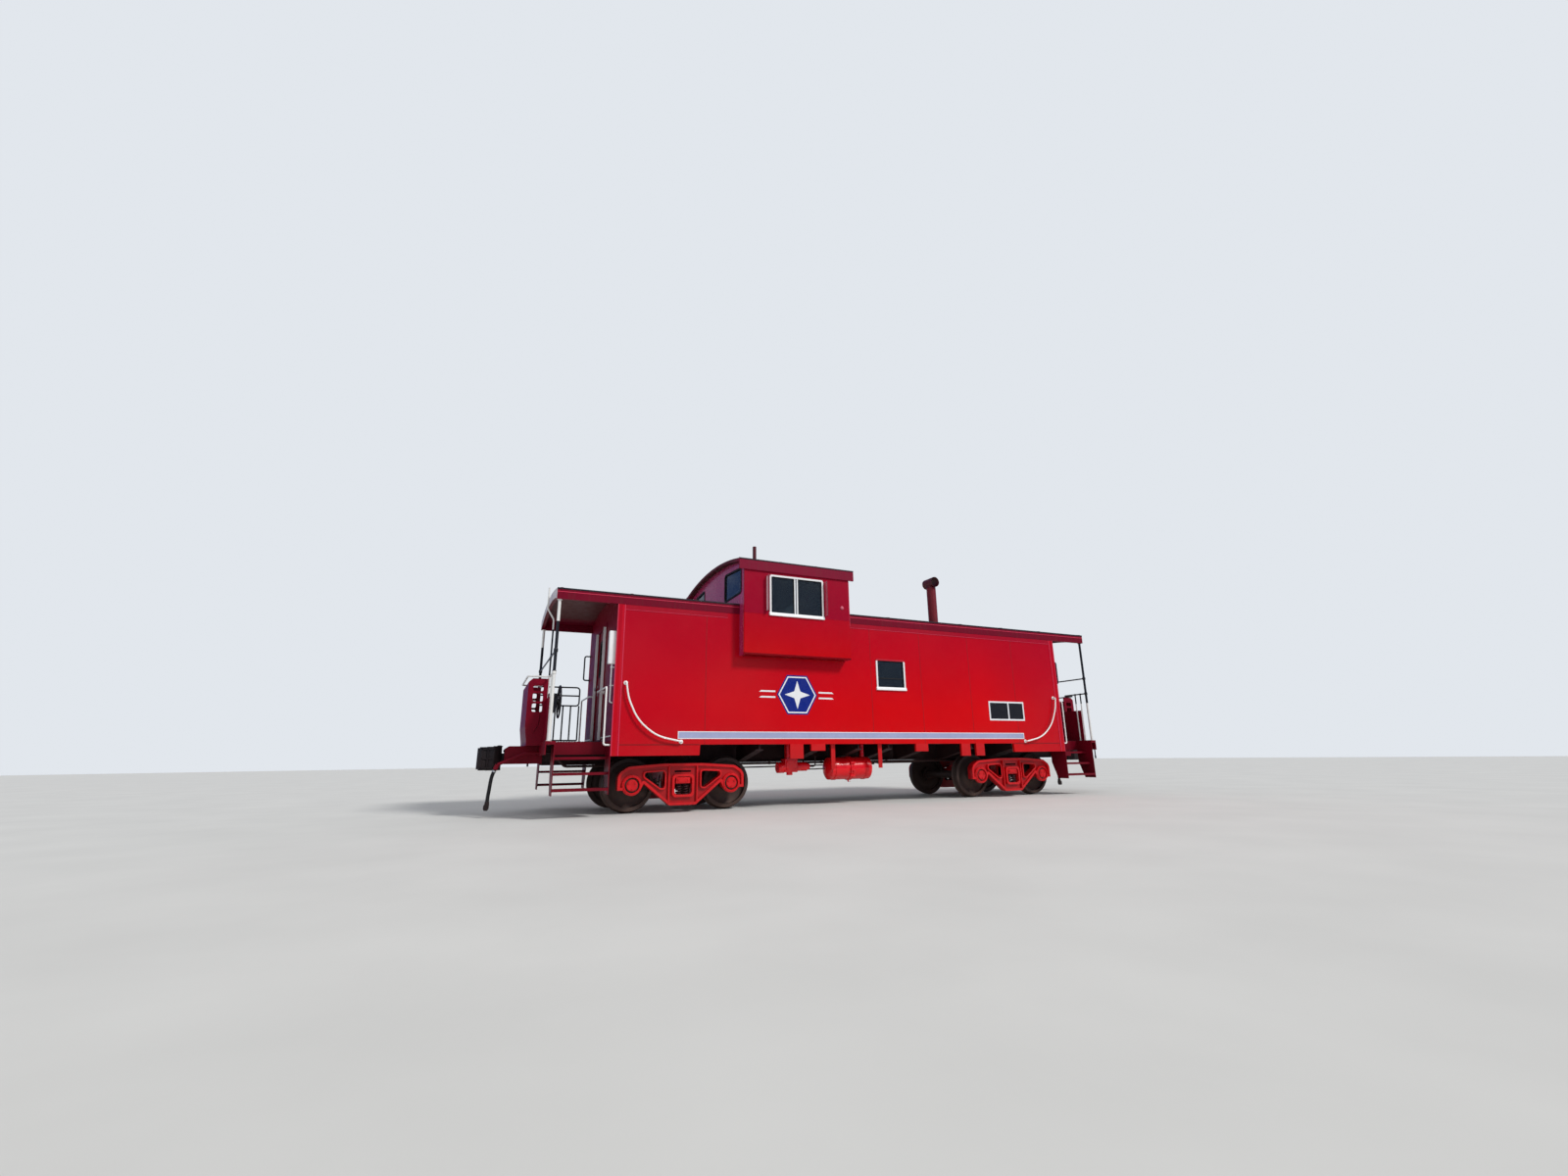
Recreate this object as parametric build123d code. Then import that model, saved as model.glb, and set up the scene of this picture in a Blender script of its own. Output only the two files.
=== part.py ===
from build123d import *
import math
import os

# A bay cupola railway caboose. X runs along the car, Y across it, Z up.
# Sizes are in millimetres. The origin is on the floor under the middle of the car.
# Heights are named from the wheel tread, which stands one flange depth above the origin.

# Wheels and axles
FLANGE = 26.0
TREAD_R = 419.0
FLANGE_R = TREAD_R + FLANGE
AXLE_Z = FLANGE_R
RAIL = FLANGE
WHEEL_BACK_Y = 678.0
RIM_W = 145.0
RIM_T = 62.0
PLATE_T = 26.0
HUB_R = 132.0
HUB_Y0 = 660.0
HUB_Y1 = 845.0
AXLE_R = 80.0
JOURNAL_R = 70.0
BEARING_R = 108.0
BEARING_Y0 = 925.0
BEARING_Y1 = 1080.0
PLATE_DISH = 34.0
PLATE_PLACE = 0.42
HUB_TAPER = 8.0
# The flange and tread: radius out from the tread, distance from the wheel's back
TREAD_PROFILE = (
    (14.0, 0.0),
    (FLANGE, 10.0),
    (24.0, 18.0),
    (4.0, 33.0),
    (0.0, 43.0),
    (-4.0, 139.0),
    (-10.0, RIM_W),
)
CAP_R = 88.0
CAP_T = 24.0

# Trucks
TRUCK_X = 3556.0
HALF_BASE = 838.0
FRAME_Y0 = 950.0
FRAME_Y1 = 1092.0
FRAME_POCKET = 38.0
FRAME_RIM = 42.0
HOLE_RIM = 25.0
FRAME_WINDOW_R = 22.0
FRAME_END_R = 150.0
FRAME_FOOT_R = 60.0
# Half of a truck frame's outline: out from the truck's middle, height above the tread
FRAME_OUTLINE = (
    (0.0, 745.0),
    (330.0, 745.0),
    (900.0, 706.0),
    (1064.0, 600.0),
    (1064.0, 345.0),
    (700.0, 345.0),
    (650.0, 440.0),
    (220.0, 90.0),
    (0.0, 90.0),
)
FRAME_BOX = (300.0, 290.0, 30.0)
FRAME_BOX_Z = RAIL + 395.0
BOX_RIM = 34.0
BOX_RIM_T = 16.0
# Corners of a truck frame's side window: out from the truck's middle, height above the tread
FRAME_WINDOW = ((640.0, 608.0), (310.0, 625.0), (310.0, 365.0), (372.0, 360.0), (640.0, 545.0))
JAW_GAP = 8.0
JAW_DEPTH = 300.0
BOLSTER_END_X = 118.0
BOLSTER_END_T = 100.0
BOLSTER_END_Z = RAIL + 430.0
PLATE_SEAT_Y = 260.0
PLATE_SEAT_T = 30.0
PLATE_RIM = 14.0
BOLSTER_ARM_Y = 700.0
BOLSTER_ARM_RISE = 190.0
BOLSTER_SLOPE = 20.0
BOLSTER_NECK = 30.0
SPRING_X = 60.0
PLATE_R = 170.0
CENTER_PLATE_Z = RAIL + 690.0
CENTER_GAP = 2.0
SPRING_R = 52.0
SPRING_SEAT_Z = RAIL + 250.0

# Body
BODY_X = 4810.0
BODY_Y = 1395.0
WALL = 50.0
SILL_Z = RAIL + 1040.0
SKIRT_Z = RAIL + 870.0
SKIRT_IN = 1425.0
SKIRT_X = BODY_X - SKIRT_IN
SKIRT_SLOPE = 12.0
FLOOR_Z = RAIL + 1100.0
FLOOR_T = 50.0
WALL_TOP = RAIL + 3280.0
CORNER_W = 70.0
CORNER_T = 6.0
DOOR_W = 700.0
DOOR_H = 1960.0
DOOR_SILL = 30.0
DOOR_T = 42.0
DOOR_GAP = 6.0
DOOR_GLASS_T = 8.0
DOOR_STILE = 150.0
DOOR_TOP_RAIL = 200.0
DOOR_PANE_FOOT = 820.0
KNOB_R = 26.0
KNOB_L = 45.0
KNOB_Z = FLOOR_Z + 950.0
KNOB_IN = 80.0
HINGE_H = 100.0
HINGE_END = 200.0
HINGE_LEAF = 60.0
HINGE_R = 11.0
HINGE_GAP = 1.0

# Main roof
PORCH_L = 960.0
ROOF_X = BODY_X + PORCH_L
ROOF_Y = BODY_Y + 8.0
EAVE_Z = RAIL + 3454.0
ROOF_RISE = 140.0
ROOF_T = 50.0
ROOF_RIB = 60.0
ROOF_RIB_DEPTH = 150.0

# Cupola
CUP_X0 = -2700.0
CUP_X1 = -580.0
CUP_Y = 1620.0
CUP_Z0 = RAIL + 2540.0
CUP_WALL = 40.0
CUP_FASCIA = RAIL + 4050.0
CUP_EAVE = RAIL + 4240.0
CUP_RISE = 190.0
CUP_ROOF_T = 50.0
CUP_OVER_X = 100.0
CUP_LIP = 30.0
CUP_WIN_X0 = -2215.0
CUP_WIN_X1 = -1130.0
CUP_WIN_Z0 = RAIL + 3270.0
CUP_WIN_Z1 = RAIL + 4000.0
END_WIN_Y0 = 620.0
END_WIN_Y1 = 1475.0
END_WIN_Z0 = RAIL + 3660.0
END_WIN_Z1 = RAIL + 4180.0
END_WIN_DROP = 70.0
END_WIN_R = 70.0

# Side windows
WIN_X0 = 95.0
WIN_X1 = 755.0
WIN_Z0 = RAIL + 2055.0
WIN_Z1 = RAIL + 2630.0
FRAME_W = 32.0
FRAME_PROUD = 14.0
FRAME_D = 40.0
GLASS_T = 8.0
MULLION_X = -1690.0
MULLION_W = 72.0
WIN_R = 30.0
CUP_WIN_R = 40.0
GLASS_INSET = 12.0
DEFLECT_D = 95.0
DEFLECT_BEFORE = 60.0
DEFLECT_AFTER = 30.0
DEFLECT_T = 10.0
DEFLECT_Z0 = RAIL + 3320.0
DEFLECT_Z1 = RAIL + 3970.0

# Underframe
SILL_HALF = 165.0
SILL_FLANGE = 240.0
SILL_PLATE = 18.0
CENTER_SILL_Z = RAIL + 740.0
END_SILL_IN = 70.0
CENTER_SILL_X = ROOF_X - END_SILL_IN
BEARER_T = 20.0
BEARER_FLAT = 220.0
BEARER_FLANGE = 70.0
FOOT_T = 12.0
BEARER_END_Z = RAIL + 945.0
BEARER_XS = (-2300.0, -1180.0, -330.0, 330.0, 1180.0, 2300.0)
BODY_BOLSTER_T = 24.0
BODY_BOLSTER_HALF = 170.0
BOLSTER_WEB_FOOT = 30.0

# Platforms and steps
STEP_X0 = BODY_X
STEP_END_IN = 130.0
STEP_X1 = ROOF_X - STEP_END_IN
STEP_T = 12.0
STEP_OUT_Y = 1400.0
DECK_DROP = 4.0
WELL_Y = 1000.0
STEP_BOTTOM = RAIL + 310.0
FASCIA_DEPTH = 200.0
FASCIA_T = 16.0
TREAD_D = 250.0
TREAD_T = 30.0
SIDE_PLATE_EXTRA = 20.0
SIDE_PLATE_RISE = 330.0
# Each tread: outer edge from the middle of the car, height of its top
TREADS = ((1395.0, RAIL + 400.0), (1310.0, RAIL + 630.0), (1215.0, RAIL + 860.0))

# Ends
POST_IN = 50.0
POST_X = ROOF_X - POST_IN
POST_Y = 1350.0
POST_R = 24.0
RAIL_R = 14.0
MID_POST_Y = 600.0
HIGH_BAR_Z = RAIL + 2470.0
TOP_RAIL_Z = RAIL + 2130.0
GUARD_INSET = 30.0
GUARD_REACH = 165.0
GUARD_LIFT = 80.0
GUARD_BEND = 60.0
GUARD_TOP_Z = RAIL + 2180.0
GUARD_MID_Z = RAIL + 2020.0
GUARD_LOW_Z = RAIL + 1830.0
# Distances of the guard's uprights from its inner end
GUARD_UPRIGHTS = (0.0, 150.0, 290.0, 430.0)
RAIL_POST_YS = (1050.0, 1190.0)
RAIL_BEND = 80.0
BAY_RAIL_OUT = 20.0
HOOK_DROP = 180.0
HOOK_OUT = 60.0
HOOK_RISE = 190.0
HOOK_BEND = 90.0
PANEL_Y = 1140.0
PANEL_Z = RAIL + 1770.0
PANEL_T = 16.0
BAY_Y = 700.0
BAY_OUT = 260.0
BAY_X = ROOF_X + BAY_OUT
BAY_FOOT_IN = 35.0
BAY_FOOT_X = BAY_X - BAY_FOOT_IN
BAY_Z = RAIL + 2100.0
BAY_KNEE_Z = RAIL + 1350.0
# Windows through the end bay's side plates: low and high height above the tread
BAY_WINDOWS = ((1570.0, 1700.0), (1735.0, 1860.0), (1900.0, 1985.0))
BAY_WIN_OUT = 30.0
BAY_WIN_W = 155.0
BAY_WIN_X0 = ROOF_X + BAY_WIN_OUT
BAY_WIN_X1 = BAY_WIN_X0 + BAY_WIN_W
BAY_WIN_R = 25.0
BAY_CHAMFER = 60.0

# Draft gear
DRAFT_L = 570.0
DRAFT_X0 = CENTER_SILL_X
DRAFT_X1 = DRAFT_X0 + DRAFT_L
DRAFT_Y = 240.0
DRAFT_SLOPE_X = 60.0
DRAFT_SLOPE_Z = 40.0
MOUTH_SIDE = 20.0
DRAFT_Z0 = RAIL + 770.0
DRAFT_Z1 = FLOOR_Z - FLOOR_T
COUPLER_OUT = 400.0
COUPLER_X = DRAFT_X1 + COUPLER_OUT
COUPLER_Z = RAIL + 860.0
SHANK_Y = 75.0
SHANK_Z = 80.0
HEAD_H = 370.0
JAW_INSET = 20.0
HEAD_R = 12.0
PIN_R = 30.0
PIN_HEAD = 14.0
PIN_SPOT = (-75.0, 118.0)
# The coupler head and its knuckle from above: back from the coupler's face, across the car
HEAD_PLAN = (
    (-360.0, -95.0),
    (-250.0, -205.0),
    (-62.0, -236.0),
    (-26.0, -176.0),
    (-120.0, -122.0),
    (-166.0, -10.0),
    (-136.0, 56.0),
    (-152.0, 166.0),
    (-250.0, 186.0),
    (-360.0, 95.0),
)
KNUCKLE_PLAN = (
    (-152.0, 166.0),
    (-136.0, 56.0),
    (-96.0, 36.0),
    (-70.0, -24.0),
    (-14.0, -46.0),
    (0.0, 4.0),
    (-8.0, 110.0),
    (-60.0, 180.0),
)
COUPLER_PLAY = 12.0
SHANK_PLAY = 20.0
SHANK_OUT = 90.0

# Roof gear
STACK_X = 2650.0
STACK_R = 106.0
CAP_PIPE_R = 118.0
STACK_H = 1291.0
STACK_TOP = EAVE_Z + STACK_H
STACK_CAP_L = 330.0
STACK_WALL = 4.0
STACK_COLLAR = 60.0
STACK_COLLAR_H = 40.0
MAST_X = -1840.0
MAST_R = 38.0
MAST_H = 830.0
MAST_TOP = CUP_EAVE + MAST_H
MAST_SINK = 6.0
MAST_FLANGE_R = 110.0
MAST_FLANGE_T = 22.0

# Air tank and brakes
TANK_X0 = -800.0
TANK_X1 = 180.0
TANK_Y = -880.0
TANK_R = 200.0
TANK_Z = RAIL + 610.0
TANK_DOME = 70.0
TANK_STRAP_X = 320.0
STRAP_W = 56.0
STRAP_T = 8.0
STRAP_HALF = 30.0
HANGER_W = 80.0
HANGER_Y = 1300.0
HANGER_T = 14.0
HANGER_XS = (-850.0, 150.0)

BRAKE_CYL_X = 480.0
BRAKE_CYL_L = 380.0
BRAKE_CYL_Y = 560.0
BRAKE_CYL_Z = RAIL + 690.0
BRAKE_CYL_R = 140.0
BRAKE_CYL_RIM = 25.0
BRAKE_CYL_LIP = 20.0
BRAKE_CYL_FOOT = 60.0
BRAKE_ROD_R = 22.0
BRAKE_ROD_L = 160.0
LEVER_HALF = 20.0
LEVER_T = 15.0
LEVER_Y0 = 80.0
LEVER_Y1 = 760.0
PULL_Y = 110.0
PULL_R = 16.0
PULL_END = 2250.0

# Control valve: body block, and its round lobes as centre X, height, radius and length along the car
VALVE_X0 = -1640.0
VALVE_X1 = -1400.0
VALVE_Y0 = -960.0
VALVE_Y1 = -780.0
VALVE_Z0 = RAIL + 560.0
VALVE_Z1 = RAIL + 790.0
VALVE_HANGER = 50.0
VALVE_LOBES = (
    (-1700.0, RAIL + 640.0, 92.0, 120.0),
    (-1290.0, RAIL + 655.0, 78.0, 220.0),
    (-1160.0, RAIL + 655.0, 58.0, 60.0),
)
VALVE_DROP = (-1520.0, RAIL + 540.0, 56.0, 60.0)

# Grab irons
IRON_OFF = 70.0
# The curved iron at each end of a side: out from the middle of the car, height above the tread
IRON_CURVE = ((4630.0, 2000.0), (4590.0, 1760.0), (4430.0, 1420.0), (4120.0, 1170.0), (3700.0, 1085.0))
CORNER_OFF = 110.0
CORNER_SET = 30.0
CORNER_IRON_Z = RAIL + 1930.0
CORNER_IRON_Y = 460.0
CORNER_FOOT = 60.0
CORNER_BEND = 35.0
POST_GRAB_Y = 1325.0
POST_GRAB_Z0 = RAIL + 2330.0
POST_GRAB_Z1 = RAIL + 2800.0

# Hand brake
BRAKE_X = POST_X - 150.0
BRAKE_Y = 900.0
BRAKE_Z = RAIL + 1720.0
BRAKE_WHEEL_R = 250.0
BRAKE_RIM_R = 13.0
BRAKE_HUB_R = 40.0
BRAKE_HUB_BACK = 20.0
BRAKE_HUB_L = 90.0
SPOKES = 5
SPOKE_R = 9.0
SPOKE_MID = 130.0
SPOKE_L = 240.0
GEARBOX_HALF = 110.0
GEARBOX_LOW = 170.0
GEARBOX_HIGH = 120.0
GEARBOX_SET = 50.0

# Cabin fittings
CABINET_T = 30.0
LOCKER_X0 = -2550.0
LOCKER_X1 = -750.0
LOCKER_Y0 = 480.0
LOCKER_Z = RAIL + 2300.0
SEAT_Z = RAIL + 2760.0
SEAT_T = 120.0
SEAT_HALF = 250.0
SEAT_Y = 1010.0
SEAT_XS = (-2180.0, -1120.0)
SEAT_BACK_T = 90.0
SEAT_BACK_H = 560.0
SEAT_STEM_R = 45.0
BUNK_X0 = 3250.0
BUNK_X1 = 4700.0
BUNK_Y0 = 620.0
BUNK_H = 460.0
DESK_X0 = -4600.0
DESK_X1 = -3400.0
DESK_H = 760.0
DESK_T = 40.0
DESK_LEG = 60.0
STOVE_R = 250.0
STOVE_H = 900.0
STOVE_LEG_H = 120.0

# Pads below the side sill: two ends along the car, height of the bottom
PADS = (
    (-1746.0, -1488.0, 795.0),
    (-1330.0, -1050.0, 926.0),
    (913.0, 1200.0, 900.0),
    (2010.0, 2230.0, 805.0),
    (2380.0, 2590.0, 805.0),
)

# Air hose at each end: points of its route down from the angle cock
HOSE_R = 27.0
HOSE_Y = -380.0
HOSE_OUT = 125.0
HOSE_X = DRAFT_X1 + HOSE_OUT
HOSE_TOP = RAIL + 690.0
COCK_DROP = 160.0
COCK_RUN = 180.0
COCK_BEND = 60.0
COCK_PIPE_R = 24.0
COCK_R = 34.0
HAND_BACK = 34.0
HAND_FRONT = 48.0
HAND_HALF = 32.0
HAND_L = 90.0
RUN_SHARE = 0.45
# Each point of the hose: how far out from the cock, how far down
HOSE_ROUTE = ((0, 0), (30, 75), (46, 180), (52, 285), (64, 400), (67, 520))


def block(x0, x1, y0, y1, z0, z1):
    """A box between two corners."""
    size = Box(abs(x1 - x0), abs(y1 - y0), abs(z1 - z0))
    return Pos((x0 + x1) / 2, (y0 + y1) / 2, (z0 + z1) / 2) * size


def along_y(points, y0, y1):
    """An outline in X and Z, carried from y0 to y1."""
    face = make_face(Polyline(*points, close=True))
    return extrude(Plane.XZ.offset(-y1) * face, amount=y1 - y0)


def along_x(points, x0, x1):
    """An outline in Y and Z, carried from x0 to x1."""
    face = make_face(Polyline(*points, close=True))
    return extrude(Plane.YZ.offset(x0) * face, amount=x1 - x0)


def window_y(x0, x1, z0, z1, radius, y0, y1):
    """A block with rounded corners that cuts through a side wall."""
    face = Pos((x0 + x1) / 2, (z0 + z1) / 2) * RectangleRounded(x1 - x0, z1 - z0, radius)
    return extrude(Plane.XZ.offset(-y1) * face, amount=y1 - y0)


def rod(start, end, radius):
    """A straight round bar."""
    path = Line(start, end)
    return sweep(Plane(path @ 0, z_dir=path % 0) * Circle(radius), path=path)


def bent_rod(points, bend, radius):
    """A round bar through the points, bent at each corner."""
    path = FilletPolyline(*points, radius=bend)
    return sweep(Plane(path @ 0, z_dir=path % 0) * Circle(radius), path=path)


def disc_y(x, z, radius, y0, y1):
    """A round piece whose axis runs across the car."""
    return extrude(Plane.XZ.offset(-y1) * (Pos(x, z) * Circle(radius)), amount=y1 - y0)


def disc_x(y, z, radius, x0, x1):
    """A round piece whose axis runs along the car."""
    return extrude(Plane.YZ.offset(x0) * (Pos(y, z) * Circle(radius)), amount=x1 - x0)


def both_sides(shape):
    """The shape and its mirror image across the middle of the car."""
    return shape + mirror(shape, Plane.XZ)


def both_ends(shape):
    """The shape and the same turned to the other end."""
    return shape + Rot(0, 0, 180) * shape


def arched(y, eave, rise, thick, skirt, lip, x0, x1):
    """An arched roof shell with a fascia hanging down at each edge."""
    outer = ThreePointArc((-y, eave), (0, eave + rise), (y, eave))
    inner_y = y - lip
    inner = ThreePointArc((inner_y, eave - thick), (0, eave + rise - thick), (-inner_y, eave - thick))
    right = Polyline((y, eave), (y, skirt), (inner_y, skirt), (inner_y, eave - thick))
    left = Polyline((-inner_y, eave - thick), (-inner_y, skirt), (-y, skirt), (-y, eave))
    face = make_face(outer + right + inner + left)
    return extrude(Plane.YZ.offset(x0) * face, amount=x1 - x0)


def under_roof(y, bottom, eave, rise, thick, lip, x0, x1):
    """A plate that fills the space under an arched roof down to a flat bottom."""
    inner_y = y - lip
    inner = ThreePointArc((inner_y, eave - thick), (0, eave + rise - thick), (-inner_y, eave - thick))
    sides = Polyline((-inner_y, eave - thick), (-inner_y, bottom), (inner_y, bottom), (inner_y, eave - thick))
    face = make_face(inner + sides)
    return extrude(Plane.YZ.offset(x0) * face, amount=x1 - x0)


# Body shell


def side_wall():
    """The near wall: deep skirts at both ends and a notch for the cupola bay."""
    outline = [
        (-BODY_X, SKIRT_Z),
        (-SKIRT_X, SKIRT_Z),
        (-SKIRT_X + SKIRT_SLOPE, SILL_Z),
        (SKIRT_X - SKIRT_SLOPE, SILL_Z),
        (SKIRT_X, SKIRT_Z),
        (BODY_X, SKIRT_Z),
        (BODY_X, WALL_TOP),
        (CUP_X1, WALL_TOP),
        (CUP_X1, CUP_Z0),
        (CUP_X0, CUP_Z0),
        (CUP_X0, WALL_TOP),
        (-BODY_X, WALL_TOP),
    ]
    wall = along_y(outline, -BODY_Y, -BODY_Y + WALL)
    for x in (-BODY_X, BODY_X - CORNER_W):
        wall += block(x, x + CORNER_W, -BODY_Y - CORNER_T, -BODY_Y, SKIRT_Z, WALL_TOP)
    opening = window_y(WIN_X0, WIN_X1, WIN_Z0, WIN_Z1, WIN_R, -BODY_Y - 1, -BODY_Y + WALL + 1)
    return wall - opening


def end_wall():
    """The right end wall with its door opening."""
    inside_y = BODY_Y - WALL
    wall = under_roof(ROOF_Y, FLOOR_Z, EAVE_Z, ROOF_RISE, ROOF_T, ROOF_Y - inside_y, BODY_X - WALL, BODY_X)
    door_top = FLOOR_Z + DOOR_SILL + DOOR_H
    opening = block(BODY_X - WALL - 1, BODY_X + 1, -DOOR_W / 2, DOOR_W / 2, FLOOR_Z + DOOR_SILL, door_top)
    return wall - opening


def end_door():
    """The right end door, hung in the opening, with its own window cut."""
    half = DOOR_W / 2
    gap = DOOR_GAP
    z0 = FLOOR_Z + DOOR_SILL + gap
    z1 = FLOOR_Z + DOOR_SILL + DOOR_H - gap
    x0 = BODY_X - WALL
    x1 = x0 + DOOR_T
    leaf = block(x0, x1, -half + gap, half - gap, z0, z1)
    pane_y = half - DOOR_STILE
    leaf -= block(x0 - 1, x1 + 1, -pane_y, pane_y, z1 - DOOR_PANE_FOOT, z1 - DOOR_TOP_RAIL)
    leaf += disc_x(-half + KNOB_IN, KNOB_Z, KNOB_R, x1, x1 + KNOB_L)
    for z in (z0 + HINGE_END, (z0 + z1) / 2, z1 - HINGE_END):
        low = z - HINGE_H / 2
        leaf += block(x0 - HINGE_R * 2, x0, half - gap - HINGE_LEAF, half - gap, low, low + HINGE_H)
        leaf += Pos(x0 - HINGE_R - HINGE_GAP, half, z) * Cylinder(HINGE_R, HINGE_H)
    return leaf


def end_door_glass():
    """The pane that fills the door's window."""
    z1 = FLOOR_Z + DOOR_SILL + DOOR_H - DOOR_GAP
    x = BODY_X - WALL + DOOR_T / 2
    half = DOOR_W / 2 - DOOR_STILE
    thick = (x - DOOR_GLASS_T / 2, x + DOOR_GLASS_T / 2)
    return block(*thick, -half, half, z1 - DOOR_PANE_FOOT, z1 - DOOR_TOP_RAIL)


def roof_half(x0, x1, end_x):
    """One half of the main roof, with the deep rib that closes its open end."""
    shell = arched(ROOF_Y, EAVE_Z, ROOF_RISE, ROOF_T, WALL_TOP, WALL, x0, x1)
    rib = arched(ROOF_Y, EAVE_Z, ROOF_RISE, ROOF_RIB_DEPTH, WALL_TOP, WALL, min(end_x), max(end_x))
    return shell + rib


# Cupola


def cupola_side():
    """The near side of the cupola bay."""
    top = CUP_EAVE - CUP_ROOF_T
    wall = block(CUP_X0, CUP_X1, -CUP_Y, -CUP_Y + CUP_WALL, CUP_Z0, top)
    cut = (-CUP_Y - 1, -CUP_Y + CUP_WALL + 1)
    opening = window_y(CUP_WIN_X0, CUP_WIN_X1, CUP_WIN_Z0, CUP_WIN_Z1, CUP_WIN_R, *cut)
    inside = (CUP_X0 + CUP_WALL, CUP_X1 - CUP_WALL)
    floor = block(*inside, -CUP_Y + CUP_WALL, -BODY_Y + WALL, CUP_Z0, CUP_Z0 + CUP_WALL)
    return wall - opening + floor


def end_window_outline():
    """The outline of one cupola end window, with its outer top corner cut down."""
    corners = (
        (END_WIN_Y0, END_WIN_Z0),
        (END_WIN_Y1, END_WIN_Z0),
        (END_WIN_Y1, END_WIN_Z1 - END_WIN_DROP),
        (END_WIN_Y0, END_WIN_Z1),
    )
    face = make_face(Polyline(*corners, close=True))
    return fillet(face.vertices(), END_WIN_R)


def cupola_end(x0, x1):
    """A cupola end wall: bay ends at both sides, a header over the main roof."""
    inside = CUP_Y - CUP_WALL
    body_inside = BODY_Y - WALL
    wall = under_roof(CUP_Y + CUP_LIP, CUP_Z0, CUP_EAVE, CUP_RISE, CUP_ROOF_T, CUP_Y + CUP_LIP - inside, x0, x1)
    hall = under_roof(ROOF_Y, CUP_Z0 - 1, EAVE_Z, ROOF_RISE, ROOF_T, ROOF_Y - body_inside, x0 - 1, x1 + 1)
    wall -= hall
    cutter = extrude(Plane.YZ.offset(x0 - 1) * end_window_outline(), amount=x1 - x0 + 2)
    return wall - both_sides(cutter)


def cupola_roof():
    """The arched cupola roof with its fascia."""
    x0 = CUP_X0 - CUP_OVER_X
    x1 = CUP_X1 + CUP_OVER_X
    shell = arched(CUP_Y + CUP_LIP, CUP_EAVE, CUP_RISE, CUP_ROOF_T, CUP_FASCIA, CUP_LIP, x0, x1)
    return shell


def frame_y(x0, x1, z0, z1, radius, y_out):
    """A window frame that lines an opening in a near side wall and stands a little proud."""
    outer = window_y(x0, x1, z0, z1, radius, y_out - FRAME_PROUD, y_out + FRAME_D)
    w = FRAME_W
    through = (y_out - FRAME_PROUD - 1, y_out + FRAME_D + 1)
    return outer - window_y(x0 + w, x1 - w, z0 + w, z1 - w, radius / 2, *through)


def window_frames():
    """The white frames: side windows and the cupola bays with a mullion."""
    side = frame_y(WIN_X0, WIN_X1, WIN_Z0, WIN_Z1, WIN_R, -BODY_Y)
    bay = frame_y(CUP_WIN_X0, CUP_WIN_X1, CUP_WIN_Z0, CUP_WIN_Z1, CUP_WIN_R, -CUP_Y)
    return both_sides(side) + both_sides(bay + mullion())


def pane_y(x0, x1, z0, z1, radius, y):
    """A pane inside a frame in a near side wall."""
    w = FRAME_W
    return window_y(x0 + w, x1 - w, z0 + w, z1 - w, radius / 2, y + GLASS_INSET, y + GLASS_INSET + GLASS_T)


def mullion():
    """The upright between the two panes of a near cupola window."""
    z0 = CUP_WIN_Z0 + FRAME_W
    z1 = CUP_WIN_Z1 - FRAME_W
    half = MULLION_W / 2
    return block(MULLION_X - half, MULLION_X + half, -CUP_Y - 4, -CUP_Y + FRAME_D - 6, z0, z1)


def window_glass():
    """All the panes of the body and the cupola."""
    side = pane_y(WIN_X0, WIN_X1, WIN_Z0, WIN_Z1, WIN_R, -BODY_Y)
    bay = pane_y(CUP_WIN_X0, CUP_WIN_X1, CUP_WIN_Z0, CUP_WIN_Z1, CUP_WIN_R, -CUP_Y) - mullion()
    panes = both_sides(side) + both_sides(bay)
    for x in (CUP_X0 + GLASS_INSET, CUP_X1 - GLASS_INSET - GLASS_T):
        panes += both_sides(extrude(Plane.YZ.offset(x) * end_window_outline(), amount=GLASS_T))
    return panes


def wind_deflectors():
    """The narrow panes that stand out from the cupola sides, before and behind each window."""
    fins = None
    for x in (CUP_WIN_X0 - DEFLECT_BEFORE, CUP_WIN_X1 + DEFLECT_AFTER):
        fin = both_sides(block(x, x + DEFLECT_T, -CUP_Y - DEFLECT_D, -CUP_Y, DEFLECT_Z0, DEFLECT_Z1))
        fins = fin if fins is None else fins + fin
    return fins


# Underframe


def bearer(x, thick, half_flange):
    """A pair of tapered arms from the centre sill to the side walls, each with a foot flange."""
    end_y = BODY_Y - WALL
    top = FLOOR_Z - FLOOR_T
    low = CENTER_SILL_Z + SILL_PLATE
    knee = SILL_FLANGE + BEARER_FLAT
    web = along_x(
        [(SILL_FLANGE, low), (knee, low), (end_y, BEARER_END_Z), (end_y, top), (SILL_FLANGE, top)],
        x - thick / 2,
        x + thick / 2,
    )
    foot_top = FOOT_T
    foot = along_x(
        [
            (SILL_FLANGE, low),
            (knee, low),
            (end_y, BEARER_END_Z),
            (end_y, BEARER_END_Z + foot_top),
            (knee, low + foot_top),
            (SILL_FLANGE, low + foot_top),
        ],
        x - half_flange,
        x + half_flange,
    )
    return both_sides(web + foot)


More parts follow.
